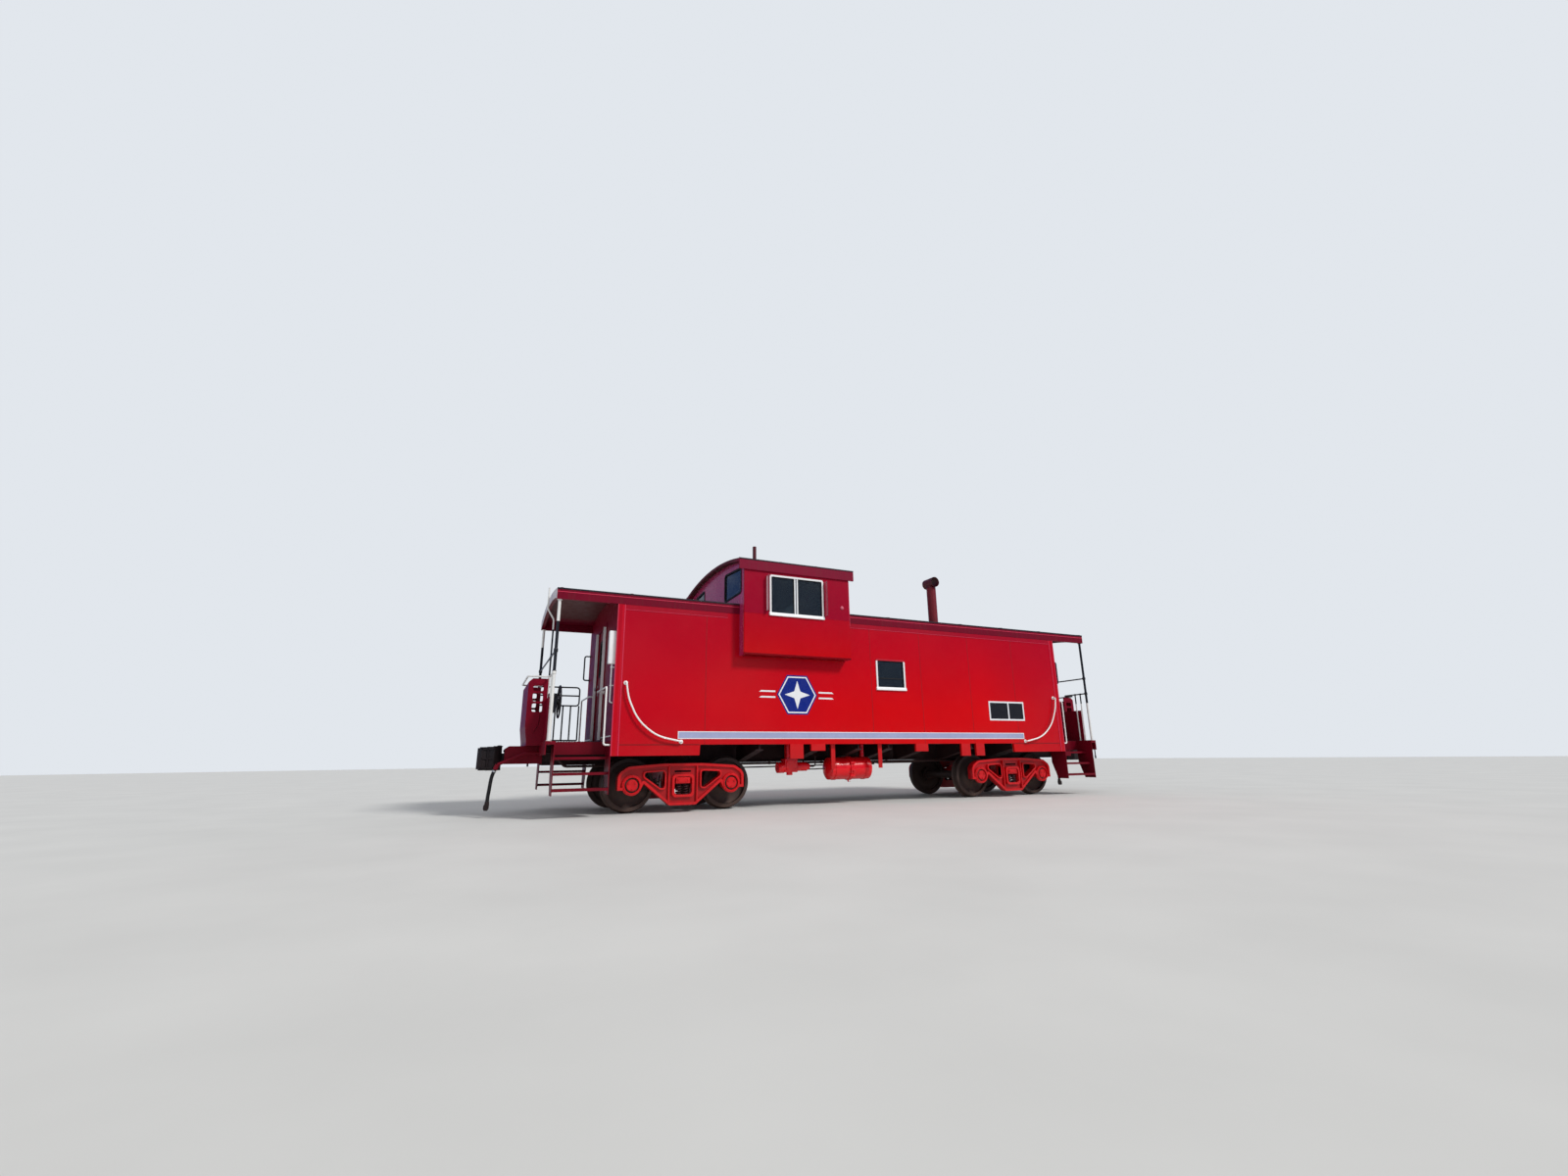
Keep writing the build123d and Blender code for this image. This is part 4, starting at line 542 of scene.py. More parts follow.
def add_ring(bm, middle, across, other, radius, sides):
    """A ring of points round a middle, in the plane of two directions."""
    angles = [2 * math.pi * s / sides for s in range(sides)]
    return [bm.verts.new(middle + (across * math.cos(a) + other * math.sin(a)) * radius) for a in angles]


def join_rings(bm, rings, index):
    """Faces between each ring and the next. A ring of one point is a tip."""
    for ring, following in zip(rings, rings[1:]):
        count = max(len(ring), len(following))
        for s in range(count if count > 1 else 0):
            t = (s + 1) % count
            if len(ring) == 1:
                corners = (ring[0], following[t], following[s])
            elif len(following) == 1:
                corners = (ring[s], ring[t], following[0])
            else:
                corners = (ring[s], ring[t], following[t], following[s])
            bm.faces.new(corners).material_index = index


def add_pipe(bm, points, radius, bend=0.0, sides=10, index=0):
    """A round bar along a line, closed at both ends."""
    line = pipe_line(points, bend)
    along = (line[1] - line[0]).normalized()
    across = along.orthogonal().normalized()
    rings = []
    for k, point in enumerate(line):
        turn = (line[min(k + 1, len(line) - 1)] - line[max(k - 1, 0)]).normalized()
        across = (across - turn * across.dot(turn)).normalized()
        rings.append(add_ring(bm, point, across, turn.cross(across), radius, sides))
    join_rings(bm, rings, index)
    bm.faces.new(list(reversed(rings[0]))).material_index = index
    bm.faces.new(rings[-1]).material_index = index


def add_lathe(bm, profile, origin, direction, sides=24, index=0):
    """A profile of radius and height turned round an axis."""
    origin = Vector(origin)
    along = Vector(direction).normalized()
    across = along.orthogonal().normalized()
    other = along.cross(across)
    rings = []
    for radius, height in profile:
        middle = origin + along * height
        if radius < 1e-6:
            rings.append([bm.verts.new(middle)])
        else:
            rings.append(add_ring(bm, middle, across, other, radius, sides))
    join_rings(bm, rings, index)


def add_bolt(bm, spot, direction, across=0.014, height=0.012, index=0):
    """A hexagon bolt head with a chamfered top on a washer."""
    washer = [(across * 1.25, 0), (across * 1.25, height * 0.2), (across, height * 0.2)]
    add_lathe(bm, washer, spot, direction, 12, index)
    head = [(across, height * 0.2), (across, height * 0.85), (across * 0.8, height), (0, height)]
    add_lathe(bm, head, spot, direction, 6, index)


def band_profile(inner, outer, half):
    """The profile of a plain band, from one edge to the other."""
    return [(inner, -half), (outer, -half), (outer, half), (inner, half)]


def spread(bm, move):
    """A copy of everything so far, moved by a matrix."""
    copied = bmesh.ops.duplicate(bm, geom=bm.verts[:] + bm.edges[:] + bm.faces[:])["geom"]
    verts = [part for part in copied if isinstance(part, bmesh.types.BMVert)]
    faces = [part for part in copied if isinstance(part, bmesh.types.BMFace)]
    bmesh.ops.transform(bm, matrix=move, verts=verts)
    if move.determinant() < 0:
        bmesh.ops.reverse_faces(bm, faces=faces)


def piece(name, bm, materials, body, bevel=0.0, angle=35.0):
    """A finished piece from a bmesh, on its body, with its edges broken."""
    mesh = bpy.data.meshes.new(name)
    bmesh.ops.recalc_face_normals(bm, faces=bm.faces[:])
    bm.to_mesh(mesh)
    bm.free()
    for material in materials if isinstance(materials, (list, tuple)) else [materials]:
        mesh.materials.append(material)
    for polygon in mesh.polygons:
        polygon.use_smooth = True
    mesh.set_sharp_from_angle(angle=math.radians(angle))
    obj = bpy.data.objects.new(name, mesh)
    bpy.context.scene.collection.objects.link(obj)
    if bevel:
        edges = obj.modifiers.new("edges", "BEVEL")
        edges.width = bevel
        edges.segments = 2
        edges.limit_method = "ANGLE"
        edges.angle_limit = math.radians(40)
    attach(obj, body)
    return obj


# Air hoses and their couplings
HOSE_R = 0.027
HOSE_Y = 0.380
HOSE_X = 6.395
HOSE_TOP = RAIL + 0.690
# Each point of the hose: how far out from the cock, how far down
HOSE_ROUTE = ((0, 0), (0.030, 0.075), (0.046, 0.180), (0.052, 0.285), (0.064, 0.400), (0.067, 0.520))
# Radius and height of the ferrule over the hose's end
FERRULE = ((0, 0), (0.0275, 0), (0.033, -0.004), (0.033, -0.040), (0.037, -0.042), (0.037, -0.052),
           (0.0275, -0.054))
FERRULE_TOP = 0.044
# Outline of the coupling's grip: out and up from the hose's end
GRIP = ((-0.030, 0.012), (0.030, 0.012), (0.046, -0.014), (0.048, -0.064), (0.034, -0.086),
        (-0.008, -0.090), (-0.026, -0.074), (-0.034, -0.040))
GRIP_HALF = 0.030
GASKET = ((0.0, 0.0), (0.015, 0.0), (0.019, 0.003), (0.025, 0.003), (0.027, 0.0), (0.027, -0.004),
          (0.0, -0.004))


def hose_points(move):
    return [move @ Vector((HOSE_X + out, HOSE_Y, HOSE_TOP - down)) for out, down in HOSE_ROUTE]


def make_coupling(end, points, out, across):
    """The glad hand on a hose's end."""
    foot = points[-1]
    down = (points[-1] - points[-2]).normalized()
    bm = bmesh.new()
    add_lathe(bm, [(r, -h - FERRULE_TOP) for r, h in FERRULE], foot, down, 20)
    rings = []
    for side in (-GRIP_HALF, GRIP_HALF):
        rings.append([bm.verts.new(foot + out * x + across * side + Vector((0, 0, z))) for x, z in GRIP])
    close_rings(bm, *rings)
    seat = foot + out * 0.008 - Vector((0, 0, 0.050)) + across * GRIP_HALF
    add_lathe(bm, GASKET, seat, across, 20)
    coupling = piece(f"hose_coupling_{end}", bm, coupler_iron, "body", 0.003)
    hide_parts("glad_hands")
    return coupling


def make_clamps(end, points, out, across):
    """A clamp near each end of a hose."""
    bm = bmesh.new()
    for k, share, wide in ((0, 0.35, 0.024), (len(points) - 2, 0.75, 0.022)):
        spot = points[k].lerp(points[k + 1], share)
        along = (points[k + 1] - points[k]).normalized()
        band = band_profile(0.0275, 0.0315, wide / 2)
        add_lathe(bm, band + band[:1], spot, along, 20)
        ear = spot + across * 0.034
        add_pipe(bm, [ear - out * 0.018, ear + out * 0.018], 0.007, 0, 8)
    return piece(f"hose_clamps_{end}", bm, steel_grey, "body")


def make_hose(end, move):
    points = hose_points(move)
    curve = bpy.data.curves.new(f"hose_{end}", "CURVE")
    curve.dimensions = "3D"
    curve.bevel_depth = HOSE_R
    curve.bevel_resolution = 4
    curve.resolution_u = 10
    curve.use_fill_caps = True
    spline = curve.splines.new("NURBS")
    spline.points.add(len(points) - 1)
    for target, point in zip(spline.points, points):
        target.co = (*point, 1.0)
    spline.order_u = 3
    spline.use_endpoint_u = True
    curve.materials.append(rubber_black)
    hose = bpy.data.objects.new(f"hose_{end}", curve)
    bpy.context.scene.collection.objects.link(hose)
    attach(hose, "body")
    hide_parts(f"air_hose_{end}")

    out = move.to_3x3() @ Vector((1, 0, 0))
    across = Vector((0, 1, 0))
    coupling = make_coupling(end, points, out, across)
    rings = make_clamps(end, points, out, across)


make_hose("right", Matrix.Identity(4))
make_hose("left", TURN)

# Stage, world and lights
FLOOR_HALF = 90.0


def make_stage():
    mesh = bpy.data.meshes.new("floor")
    corners = [(x, y, 0) for x, y in box_outline(-FLOOR_HALF, FLOOR_HALF, -FLOOR_HALF, FLOOR_HALF)]
    mesh.from_pydata(corners, [], [(0, 1, 2, 3)])
    floor = bpy.data.objects.new("floor", mesh)
    bpy.context.scene.collection.objects.link(floor)
    finish = Finish("floor_pale")
    tone = finish.ranged(finish.noise(0.8, 4.0), 0.3, 0.7, 0.96, 1.02)
    colour = finish.mix(1.0, tint(214, 214, 211), finish.grey(tone), "MULTIPLY")
    finish.link(colour, finish.shader.inputs["Base Color"])
    finish.shader.inputs["Roughness"].default_value = 0.85
    finish.shader.inputs["Specular IOR Level"].default_value = 0.2
    mesh.materials.append(finish.material)


def make_clouds(tree):
    """A colour that drifts between blue sky and white cloud."""
    place = tree.nodes.new("ShaderNodeTexCoord")
    noise = tree.nodes.new("ShaderNodeTexNoise")
    noise.inputs["Scale"].default_value = 5.5
    noise.inputs["Detail"].default_value = 4.0
    clouds = tree.nodes.new("ShaderNodeValToRGB")
    for element, position, colour in zip(clouds.color_ramp.elements, (0.47, 0.66),
                                         ((0.03, 0.11, 0.42, 1), (1.0, 1.0, 1.0, 1))):
        element.position = position
        element.color = colour
    tree.links.new(place.outputs["Generated"], noise.inputs["Vector"])
    tree.links.new(noise.outputs["Fac"], clouds.inputs["Fac"])
    return clouds.outputs["Color"]


def make_world():
    """One sky for light, one with clouds for reflections and one to be seen."""
    world = bpy.data.worlds.new("world")
    bpy.context.scene.world = world
    world.use_nodes = True
    tree = world.node_tree
    tree.nodes.clear()
    out = tree.nodes.new("ShaderNodeOutputWorld")
    rays = tree.nodes.new("ShaderNodeLightPath")
    seen = tree.nodes.new("ShaderNodeMath")
    seen.operation = "MAXIMUM"
    tree.links.new(rays.outputs["Is Camera Ray"], seen.inputs[0])
    tree.links.new(rays.outputs["Is Transmission Ray"], seen.inputs[1])
    skies = []
    for colour, strength in (((0.92, 0.95, 1.0, 1), 0.50), (None, 0.80), ((0.80, 0.84, 0.89, 1), 0.95)):
        sky = tree.nodes.new("ShaderNodeBackground")
        if colour is None:
            tree.links.new(make_clouds(tree), sky.inputs["Color"])
        else:
            sky.inputs["Color"].default_value = colour
        sky.inputs["Strength"].default_value = strength
        skies.append(sky.outputs[0])
    shown = skies[0]
    for amount, sky in ((rays.outputs["Is Glossy Ray"], skies[1]), (seen.outputs[0], skies[2])):
        mixed = tree.nodes.new("ShaderNodeMixShader")
        tree.links.new(amount, mixed.inputs[0])
        tree.links.new(shown, mixed.inputs[1])
        tree.links.new(sky, mixed.inputs[2])
        shown = mixed.outputs[0]
    tree.links.new(shown, out.inputs["Surface"])


def make_sun(name, strength, angle, direction, colour):
    data = bpy.data.lights.new(name, "SUN")
    data.energy = strength
    data.angle = math.radians(angle)
    data.color = colour
    lamp = bpy.data.objects.new(name, data)
    bpy.context.scene.collection.objects.link(lamp)
    lamp.rotation_mode = "QUATERNION"
    lamp.rotation_quaternion = Vector(direction).to_track_quat("-Z", "Y")


make_stage()
make_world()
make_sun("key", 2.2, 12, (-0.42, 0.66, -0.66), (1.0, 0.98, 0.95))
make_sun("fill", 0.35, 60, (0.70, 0.55, -0.35), (0.95, 0.97, 1.0))
bpy.context.scene.view_settings.view_transform = "Standard"

# Stripe, plates and emblem on both sides: X from and to, Z from and to
STRIPE = (-3.755, 3.680, RAIL + 1.130, RAIL + 1.250)
STRIPE_EDGE = 0.012
PLATE = (2.800, 3.750, RAIL + 1.500, RAIL + 1.890)
PLATE_EDGE = 0.032
PLATE_DIVIDER = 3.320
DIVIDER_HALF = 0.016
EMBLEM = (-1.590, RAIL + 1.895)
EMBLEM_R = 0.400
EMBLEM_RING = (0.372, 0.345)
STAR = (0.250, 0.085)
# Inner and outer end of the emblem's bars, the outer end at their tops, their height from the middle
BAR_X = (0.43, 0.74, 0.70)
BAR_Z = 0.050
BAR_HALF = 0.014


def make_stripes():
    bm = bmesh.new()
    inner = box_outline(*STRIPE, grow=-STRIPE_EDGE)
    add_frame(bm, box_outline(*STRIPE), inner, "y", -BODY_Y - 0.0026, -BODY_Y + SUNK, 0)
    add_prism(bm, inner, "y", -BODY_Y - 0.0022, -BODY_Y + SUNK, 1)
    spread(bm, MIRROR)
    piece("side_stripes", bm, [stripe_white, stripe_blue], "body")


def make_plates():
    bm = bmesh.new()
    x0, x1, z0, z1 = PLATE
    in_x0, in_x1, in_z0, in_z1 = x0 + PLATE_EDGE, x1 - PLATE_EDGE, z0 + PLATE_EDGE, z1 - PLATE_EDGE
    left, right = PLATE_DIVIDER - DIVIDER_HALF, PLATE_DIVIDER + DIVIDER_HALF
    front, back = -BODY_Y - 0.003, -BODY_Y + SUNK
    inner = rounded(in_x0, in_x1, in_z0, in_z1, 0.004, 2)
    add_frame(bm, rounded(x0, x1, z0, z1, 0.006, 2), inner, "y", front, back)
    add_box(bm, left, right, front, back, in_z0, in_z1)
    for low, high in ((in_x0, left), (right, in_x1)):
        add_prism(bm, box_outline(low, high, in_z0, in_z1), "y", -BODY_Y - 0.002, back, 1)
    spread(bm, MIRROR)
    piece("blank_plates", bm, [stripe_white, plate_black], "body", 0.0008)


def star(radius, points, inner=None):
    """A polygon about the emblem's middle, or a star where an inner radius is given."""
    cx, cz = EMBLEM
    outline = []
    for k in range(points * (2 if inner else 1)):
        r = inner if inner and k % 2 else radius
        angle = math.pi * k / points * (1 if inner else 2)
        outline.append((cx + r * math.cos(angle), cz + r * math.sin(angle)))
    return outline


def make_emblems():
    bm = bmesh.new()
    face = -BODY_Y
    cx, cz = EMBLEM
    near, far, far_top = BAR_X
    add_prism(bm, star(EMBLEM_R, 6), "y", face - 0.0012, face + SUNK, 0)
    add_frame(bm, star(EMBLEM_RING[0], 6), star(EMBLEM_RING[1], 6), "y", face - 0.0024, face - 0.001, 1)
    add_prism(bm, star(STAR[0], 4, STAR[1]), "y", face - 0.0024, face - 0.001, 1)
    for side in (-1, 1):
        for level in (-1, 1):
            low, high = cz + level * BAR_Z - BAR_HALF, cz + level * BAR_Z + BAR_HALF
            bar = [(cx + side * near, low), (cx + side * far, low), (cx + side * far_top, high),
                   (cx + side * near, high)]
            add_prism(bm, bar, "y", face - 0.0014, face + SUNK, 1)
    spread(bm, MIRROR)
    piece("side_emblems", bm, [emblem_blue, stripe_white], "body")


make_stripes()
make_plates()
make_emblems()

# Weld seams and strips on the walls
SEAM_XS = (-3.300, -0.020, 1.140, 2.360, 3.550)
STRIP_IN = BODY_X - 0.122
STRIP_OUT = BODY_X - 0.002
STRIP_EDGE_W = 0.014


def bead(face, middle, foot, top, proud):
    """The outline of a low bead on a wall: half its width at its foot and its top, and its height."""
    return [(face + 0.002, middle - foot), (face + 0.002, middle + foot), (face - proud, middle + top),
            (face - proud, middle - top)]


def make_wall_seams():
    bm = bmesh.new()
    face = -BODY_Y
    for x in SEAM_XS:
        top = CUP_Z0 if CUP_X0 < x < CUP_X1 else WALL_TOP
        seam = [(u, w) for w, u in bead(face, x, 0.007, 0.004, 0.0016)]
        add_prism(bm, seam, "z", SILL_Z + 0.004, top)
    # Along the sill: a darker bead painted as the shadow line below the wall
    for sign in (-1, 1):
        x0, x1 = sorted((sign * SKIRT_X, sign * (BODY_X - 0.07)))
        add_prism(bm, bead(face, SILL_Z, 0.012, 0.008, 0.003), "x", x0, x1)
    spread(bm, MIRROR)
    piece("wall_seams", bm, seam_red, "body")


def make_wall_strips():
    """A strip at each corner with pale edges painted as highlights, and a drip strip below each eave with a
    pale line along its lower edge painted as a highlight.
    """
    bm = bmesh.new()
    face = -BODY_Y
    low, high = SKIRT_Z + 0.002, WALL_TOP - 0.002
    for sign in (-1, 1):
        add_box(bm, sign * STRIP_IN, sign * STRIP_OUT, face - 0.004, face + SUNK, low, high, 0)
        for edge in (STRIP_IN + 0.004, STRIP_OUT - 0.008):
            add_box(bm, sign * edge, sign * (edge + STRIP_EDGE_W), face - 0.008, face, low, high, 1)
    for x0, x1 in ((-STRIP_IN, CUP_X0 - 0.220), (CUP_X1 + 0.120, STRIP_IN)):
        add_box(bm, x0, x1, face - 0.005, face + SUNK, WALL_TOP - 0.084, high, 2)
        add_box(bm, x0, x1, face - 0.007, face, WALL_TOP - 0.090, WALL_TOP - 0.082, 1)
    spread(bm, MIRROR)
    piece("wall_strips", bm, [strip_red, strip_edge_highlight, drip_red], "body", 0.001)


# The ridges are pale pink as painted highlights on the fascia's moulding and the cupola's corner
def make_fascia_ridges():
    bm = bmesh.new()
    for x0, x1 in ((-ROOF_X + 0.004, CUP_X0 - 0.010), (CUP_X1 + 0.010, ROOF_X - 0.004)):
        add_box(bm, x0, x1, -ROOF_Y - 0.005, -ROOF_Y + 0.002, EAVE_Z - 0.062, EAVE_Z - 0.050)
    low, high = SEAM_Z - 0.100, CUP_FASCIA - 0.010
    add_box(bm, CUP_X1 - 0.004, CUP_X1 + 0.005, -CUP_Y - 0.003, -CUP_Y + 0.024, low, high)
    spread(bm, MIRROR)
    piece("fascia_ridges", bm, strip_edge_highlight, "body", 0.001)


def make_cupola_seams():
    bm = bmesh.new()
    add_prism(bm, bead(-CUP_Y, SEAM_Z, 0.006, 0.003, 0.003), "x", CUP_X0, CUP_X1)
    spread(bm, MIRROR)
    piece("cupola_seams", bm, cupola_red, "body")


make_wall_seams()
make_wall_strips()
make_fascia_ridges()
make_cupola_seams()

# Seam caps and edge strips on both roofs
ARC_STEPS = 28
CAP_WIDTH = 0.044
ROOF_CAPS = (-5.70, -4.60, -3.50, 0.45, 1.55, 2.25, 3.35, 4.45, 5.70)
CUP_CAPS = (CUP_X0 + 0.70, CUP_X0 + 1.42)
CUP_EDGE = CUP_Y + CUP_LIP


def arc_points(half_y, eave, rise):
    """Points across an arched roof, from one eave to the other."""
    radius = (half_y**2 + rise**2) / (2 * rise)
    centre = eave + rise - radius
    most = math.asin(half_y / radius)
    angles = [most * (2 * k / ARC_STEPS - 1) for k in range(ARC_STEPS + 1)]
    return [(radius * math.sin(a), centre + radius * math.cos(a)) for a in angles]


def make_seam_caps(name, material, xs, half_y, eave, rise, height):
    """Raised caps across a roof, folded down a little over each eave."""
    bm = bmesh.new()
    low = eave - 0.030
    outer = arc_points(half_y + 0.004, eave + height, rise)
    inner = arc_points(half_y - 0.002, eave - 0.002, rise)
    outline = []
    for line in (outer, inner):
        whole = [(line[0][0], low)] + line + [(line[-1][0], low)]
        outline += whole if line is outer else list(reversed(whole))
    for x in xs:
        add_prism(bm, outline, "x", x - CAP_WIDTH / 2, x + CAP_WIDTH / 2)
    piece(name, bm, material, "body", 0.002)


def make_edge_strips(name, spans, edge, eave, drop, reach, lift):
    """A folded strip along both eaves: how far it hangs down, reaches in and climbs there."""
    bm = bmesh.new()
    strip = [(-edge - 0.006, eave - drop), (-edge + 0.001, eave - drop), (-edge + 0.001, eave + 0.002),
             (-edge + reach, eave + lift), (-edge + reach - 0.002, eave + lift + 0.008),
             (-edge - 0.006, eave + 0.008)]
    for x0, x1 in spans:
        add_prism(bm, strip, "x", x0, x1)
    spread(bm, MIRROR)
    piece(name, bm, rail_black, "body", 0.0015)


make_seam_caps("roof_seam_caps", roof_red, ROOF_CAPS, ROOF_Y, EAVE_Z, ROOF_RISE, 0.014)
make_edge_strips("roof_edge_strips", ((-ROOF_X, CUP_X0), (CUP_X1, ROOF_X)), ROOF_Y, EAVE_Z,
                 0.016, 0.060, 0.014)
make_seam_caps("cupola_seam_caps", cupola_roof_red, CUP_CAPS, CUP_EDGE, CUP_EAVE, CUP_RISE, 0.012)
make_edge_strips("cupola_edge_strips", ((CUP_X0 - CUP_OVER_X, CUP_X1 + CUP_OVER_X),), CUP_EDGE, CUP_EAVE,
                 0.014, 0.050, 0.018)

# Window rubber, sills, mullion grooves and bosses
END_WIN = (0.620, 1.475, RAIL + 3.660, RAIL + 4.180)
END_WIN_DROP = 0.070
END_WIN_R = 0.070
RUBBER_W = 0.014
BOSS = ((0.0, 0.0), (0.034, 0.0), (0.034, 0.008), (0.022, 0.020), (0.0, 0.024))


def end_window(grow):
    """The outline of the cupola's end window, lower on the outer side, grown by an amount."""
    y0, y1, z0, z1 = END_WIN
    y0, y1, z0, z1 = y0 - grow, y1 + grow, z0 - grow, z1 + grow
    return round_corners([(y0, z0), (y1, z0), (y1, z1 - END_WIN_DROP), (y0, z1)], END_WIN_R + grow)


def make_window(name, window, face, mullions=(), bars=()):
    """Rubber round each pane of a framed window with its bars, and the sill below it."""
    x0, x1, z0, z1 = window
    low, high = z0 + WIN_FRAME, z1 - WIN_FRAME
    edges = [x0 + WIN_FRAME, *(x + half for x in mullions for half in (-0.036, 0.036)), x1 - WIN_FRAME]
    bm = bmesh.new()
    for a, b in zip(edges[::2], edges[1::2]):
        outer = rounded(a - 0.001, b + 0.001, low - 0.001, high + 0.001, 0.014)
        inner = rounded(a + RUBBER_W, b - RUBBER_W, low + RUBBER_W, high - RUBBER_W, 0.010)
        add_frame(bm, outer, inner, "y", face - 0.004, face + 0.012)
    for share in bars:
        level = low + share * (high - low)
        add_box(bm, edges[0], edges[-1], face + 0.002, face + 0.014, level - 0.012, level + 0.012)
    spread(bm, MIRROR)
    piece(f"{name}_window_rubber", bm, rubber_black, "body", 0.002)

    bm = bmesh.new()
    sill = [(face - 0.030, z0 - 0.022), (face + 0.004, z0 - 0.022), (face + 0.004, z0 + 0.040),
            (face - 0.014, z0 + 0.040), (face - 0.030, z0 + 0.006)]
    add_prism(bm, sill, "x", x0 - 0.010, x1 + 0.010)
    spread(bm, MIRROR)
    piece(f"{name}_window_sills", bm, frame_white, "body", 0.003)


def make_cupola_details():
    bm = bmesh.new()
    for low, high in ((CUP_X0 - 0.010, CUP_X0 + 0.012), (CUP_X1 - 0.012, CUP_X1 + 0.010)):
        add_frame(bm, end_window(0.018), end_window(-0.020), "x", low, high)
    spread(bm, MIRROR)
    piece("cupola_end_rubber", bm, rubber_black, "body", 0.004)

    bm = bmesh.new()
    low, high = CUP_WIN[2] + 0.040, CUP_WIN[3] - 0.034
    add_box(bm, MULLION_X - 0.013, MULLION_X + 0.013, -CUP_Y - 0.0052, -CUP_Y + SUNK, low, high)
    spread(bm, MIRROR)
    piece("mullion_grooves", bm, mullion_grey, "body")

    bm = bmesh.new()
    # The bosses are pale pink as painted highlights
    add_lathe(bm, BOSS, (CUP_X1 - 0.158, -CUP_Y, RAIL + 3.510), (0, -1, 0), 20)
    spread(bm, MIRROR)
    piece("cupola_bosses", bm, edge_highlight_pink, "body")


make_window("side", SIDE_WIN, -BODY_Y, bars=(0.34,))
make_window("cupola", CUP_WIN, -CUP_Y, mullions=(MULLION_X,))
make_cupola_details()

# Springs: two nested coils at each place, as radius, wire, turns, sides and steps in a turn
COILS = ((SPRING_R - 0.011, 0.011, 5.5, 8, 18), (0.024, 0.006, 8.5, 6, 14))


def add_coil(bm, middle, radius, wire, turns, sides, per_turn):
    """A coil of round wire with its ends ground flat on their seats."""
    low, high = SPRING_SEAT_Z, SPRING_TOP_Z
    count = int(turns * per_turn)
    line = []
    for k in range(count + 1):
        t = k / count
        angle = 2 * math.pi * turns * t
        ease = min(1.0, max(0.0, (t * turns - 0.75) / max(turns - 1.5, 0.1)))
        z = low + wire + (high - low - 2 * wire) * ease
        line.append(Vector((middle[0] + radius * math.cos(angle), middle[1] + radius * math.sin(angle), z)))
    add_pipe(bm, line, wire, 0.0, sides)


def make_springs(end, cx):
    bm = bmesh.new()
    middle = (FRAME_Y0 + FRAME_Y1) / 2
    for x in (-SPRING_X, SPRING_X):
        for y in (-middle, middle):
            for coil in COILS:
                add_coil(bm, (cx + x, y), *coil)
    springs = piece(f"springs_{end}", bm, spring_dark, f"truck_{end}", 0.0, 60)
    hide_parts(f"truck_springs_{end}")


for end, cx in ENDS:
    make_springs(end, cx)

# Brake beams and shoes on the trucks
SHOE_X = HALF_BASE - TREAD_R
SHOE_Y = 0.765
BEAM_Z = 0.395
BEAM_X = SHOE_X - 0.085
# A shoe and its back plate: gap to the tread, thickness, reach in degrees, half the width
SHOES = ((0.007, 0.036, 17, 0.042), (0.043, 0.022, 11, 0.030))


def shoe_outline(gap, thick, reach):
    """A shoe's outline in X and Z, curved to the tread of the axle on its outer side."""
    inner = TREAD_R + gap
    angles = [math.radians(186 + reach * (2 * k / 10 - 1)) for k in range(11)]
    points = [(inner * math.cos(a), inner * math.sin(a)) for a in angles]
    points += [((inner + thick) * math.cos(a), (inner + thick) * math.sin(a)) for a in reversed(angles)]
    return [(HALF_BASE + x, AXLE_Z + z) for x, z in points]


def make_brakes(end, cx):
    bm = bmesh.new()
    x = BEAM_X
    for gap, thick, reach, half in SHOES:
        add_prism(bm, shoe_outline(gap, thick, reach), "y", SHOE_Y - half, SHOE_Y + half)
    add_box(bm, x - 0.010, x + 0.040, SHOE_Y - 0.022, SHOE_Y + 0.022, BEAM_Z - 0.055, BEAM_Z + 0.055)
    add_pipe(bm, [(x, SHOE_Y, BEAM_Z + 0.050), (x - 0.015, SHOE_Y + 0.02, BEAM_Z + 0.19)], 0.012)
    spread(bm, MIRROR)
    add_pipe(bm, [(x, -SHOE_Y, BEAM_Z), (x, SHOE_Y, BEAM_Z)], 0.022, 0, 12)
    truss_end = SHOE_Y - 0.03
    truss = [(x, -truss_end, BEAM_Z), (x - 0.085, 0, BEAM_Z - 0.02), (x, truss_end, BEAM_Z)]
    add_pipe(bm, truss, 0.013, 0.05)
    add_box(bm, x - 0.090, x + 0.006, -0.016, 0.016, BEAM_Z - 0.040, BEAM_Z + 0.040)
    spread(bm, TURN)
    lever_x = SHOE_X - 0.180
    add_pipe(bm, [(lever_x, 0.0, BEAM_Z - 0.06), (-lever_x, 0.0, BEAM_Z - 0.06)], 0.014)
    bmesh.ops.translate(bm, vec=(cx, 0, 0), verts=bm.verts[:])
    piece(f"brake_beams_{end}", bm, frame_dark, f"truck_{end}", 0.003)


for end, cx in ENDS:
    make_brakes(end, cx)

# Bearing rings on the frames, end caps on the axles, as radius and height
BEARING_RING = ((0.117, 0.0), (0.156, 0.0), (0.160, 0.006), (0.160, 0.054), (0.154, 0.064), (0.140, 0.066),
                (0.134, 0.078), (0.122, 0.078), (0.117, 0.070), (0.117, 0.0))
AXLE_CAP = ((0.090, -0.020), (0.090, 0.0), (0.082, 0.007), (0.046, 0.007), (0.036, 0.004), (0.0, 0.006))
OUTWARDS = (0, -1, 0)


def circle_of(count, start, radius):
    """Places round a circle, as two distances from its middle."""
    angles = [math.radians(start + 360 * k / count) for k in range(count)]
    return [(radius * math.cos(a), radius * math.sin(a)) for a in angles]


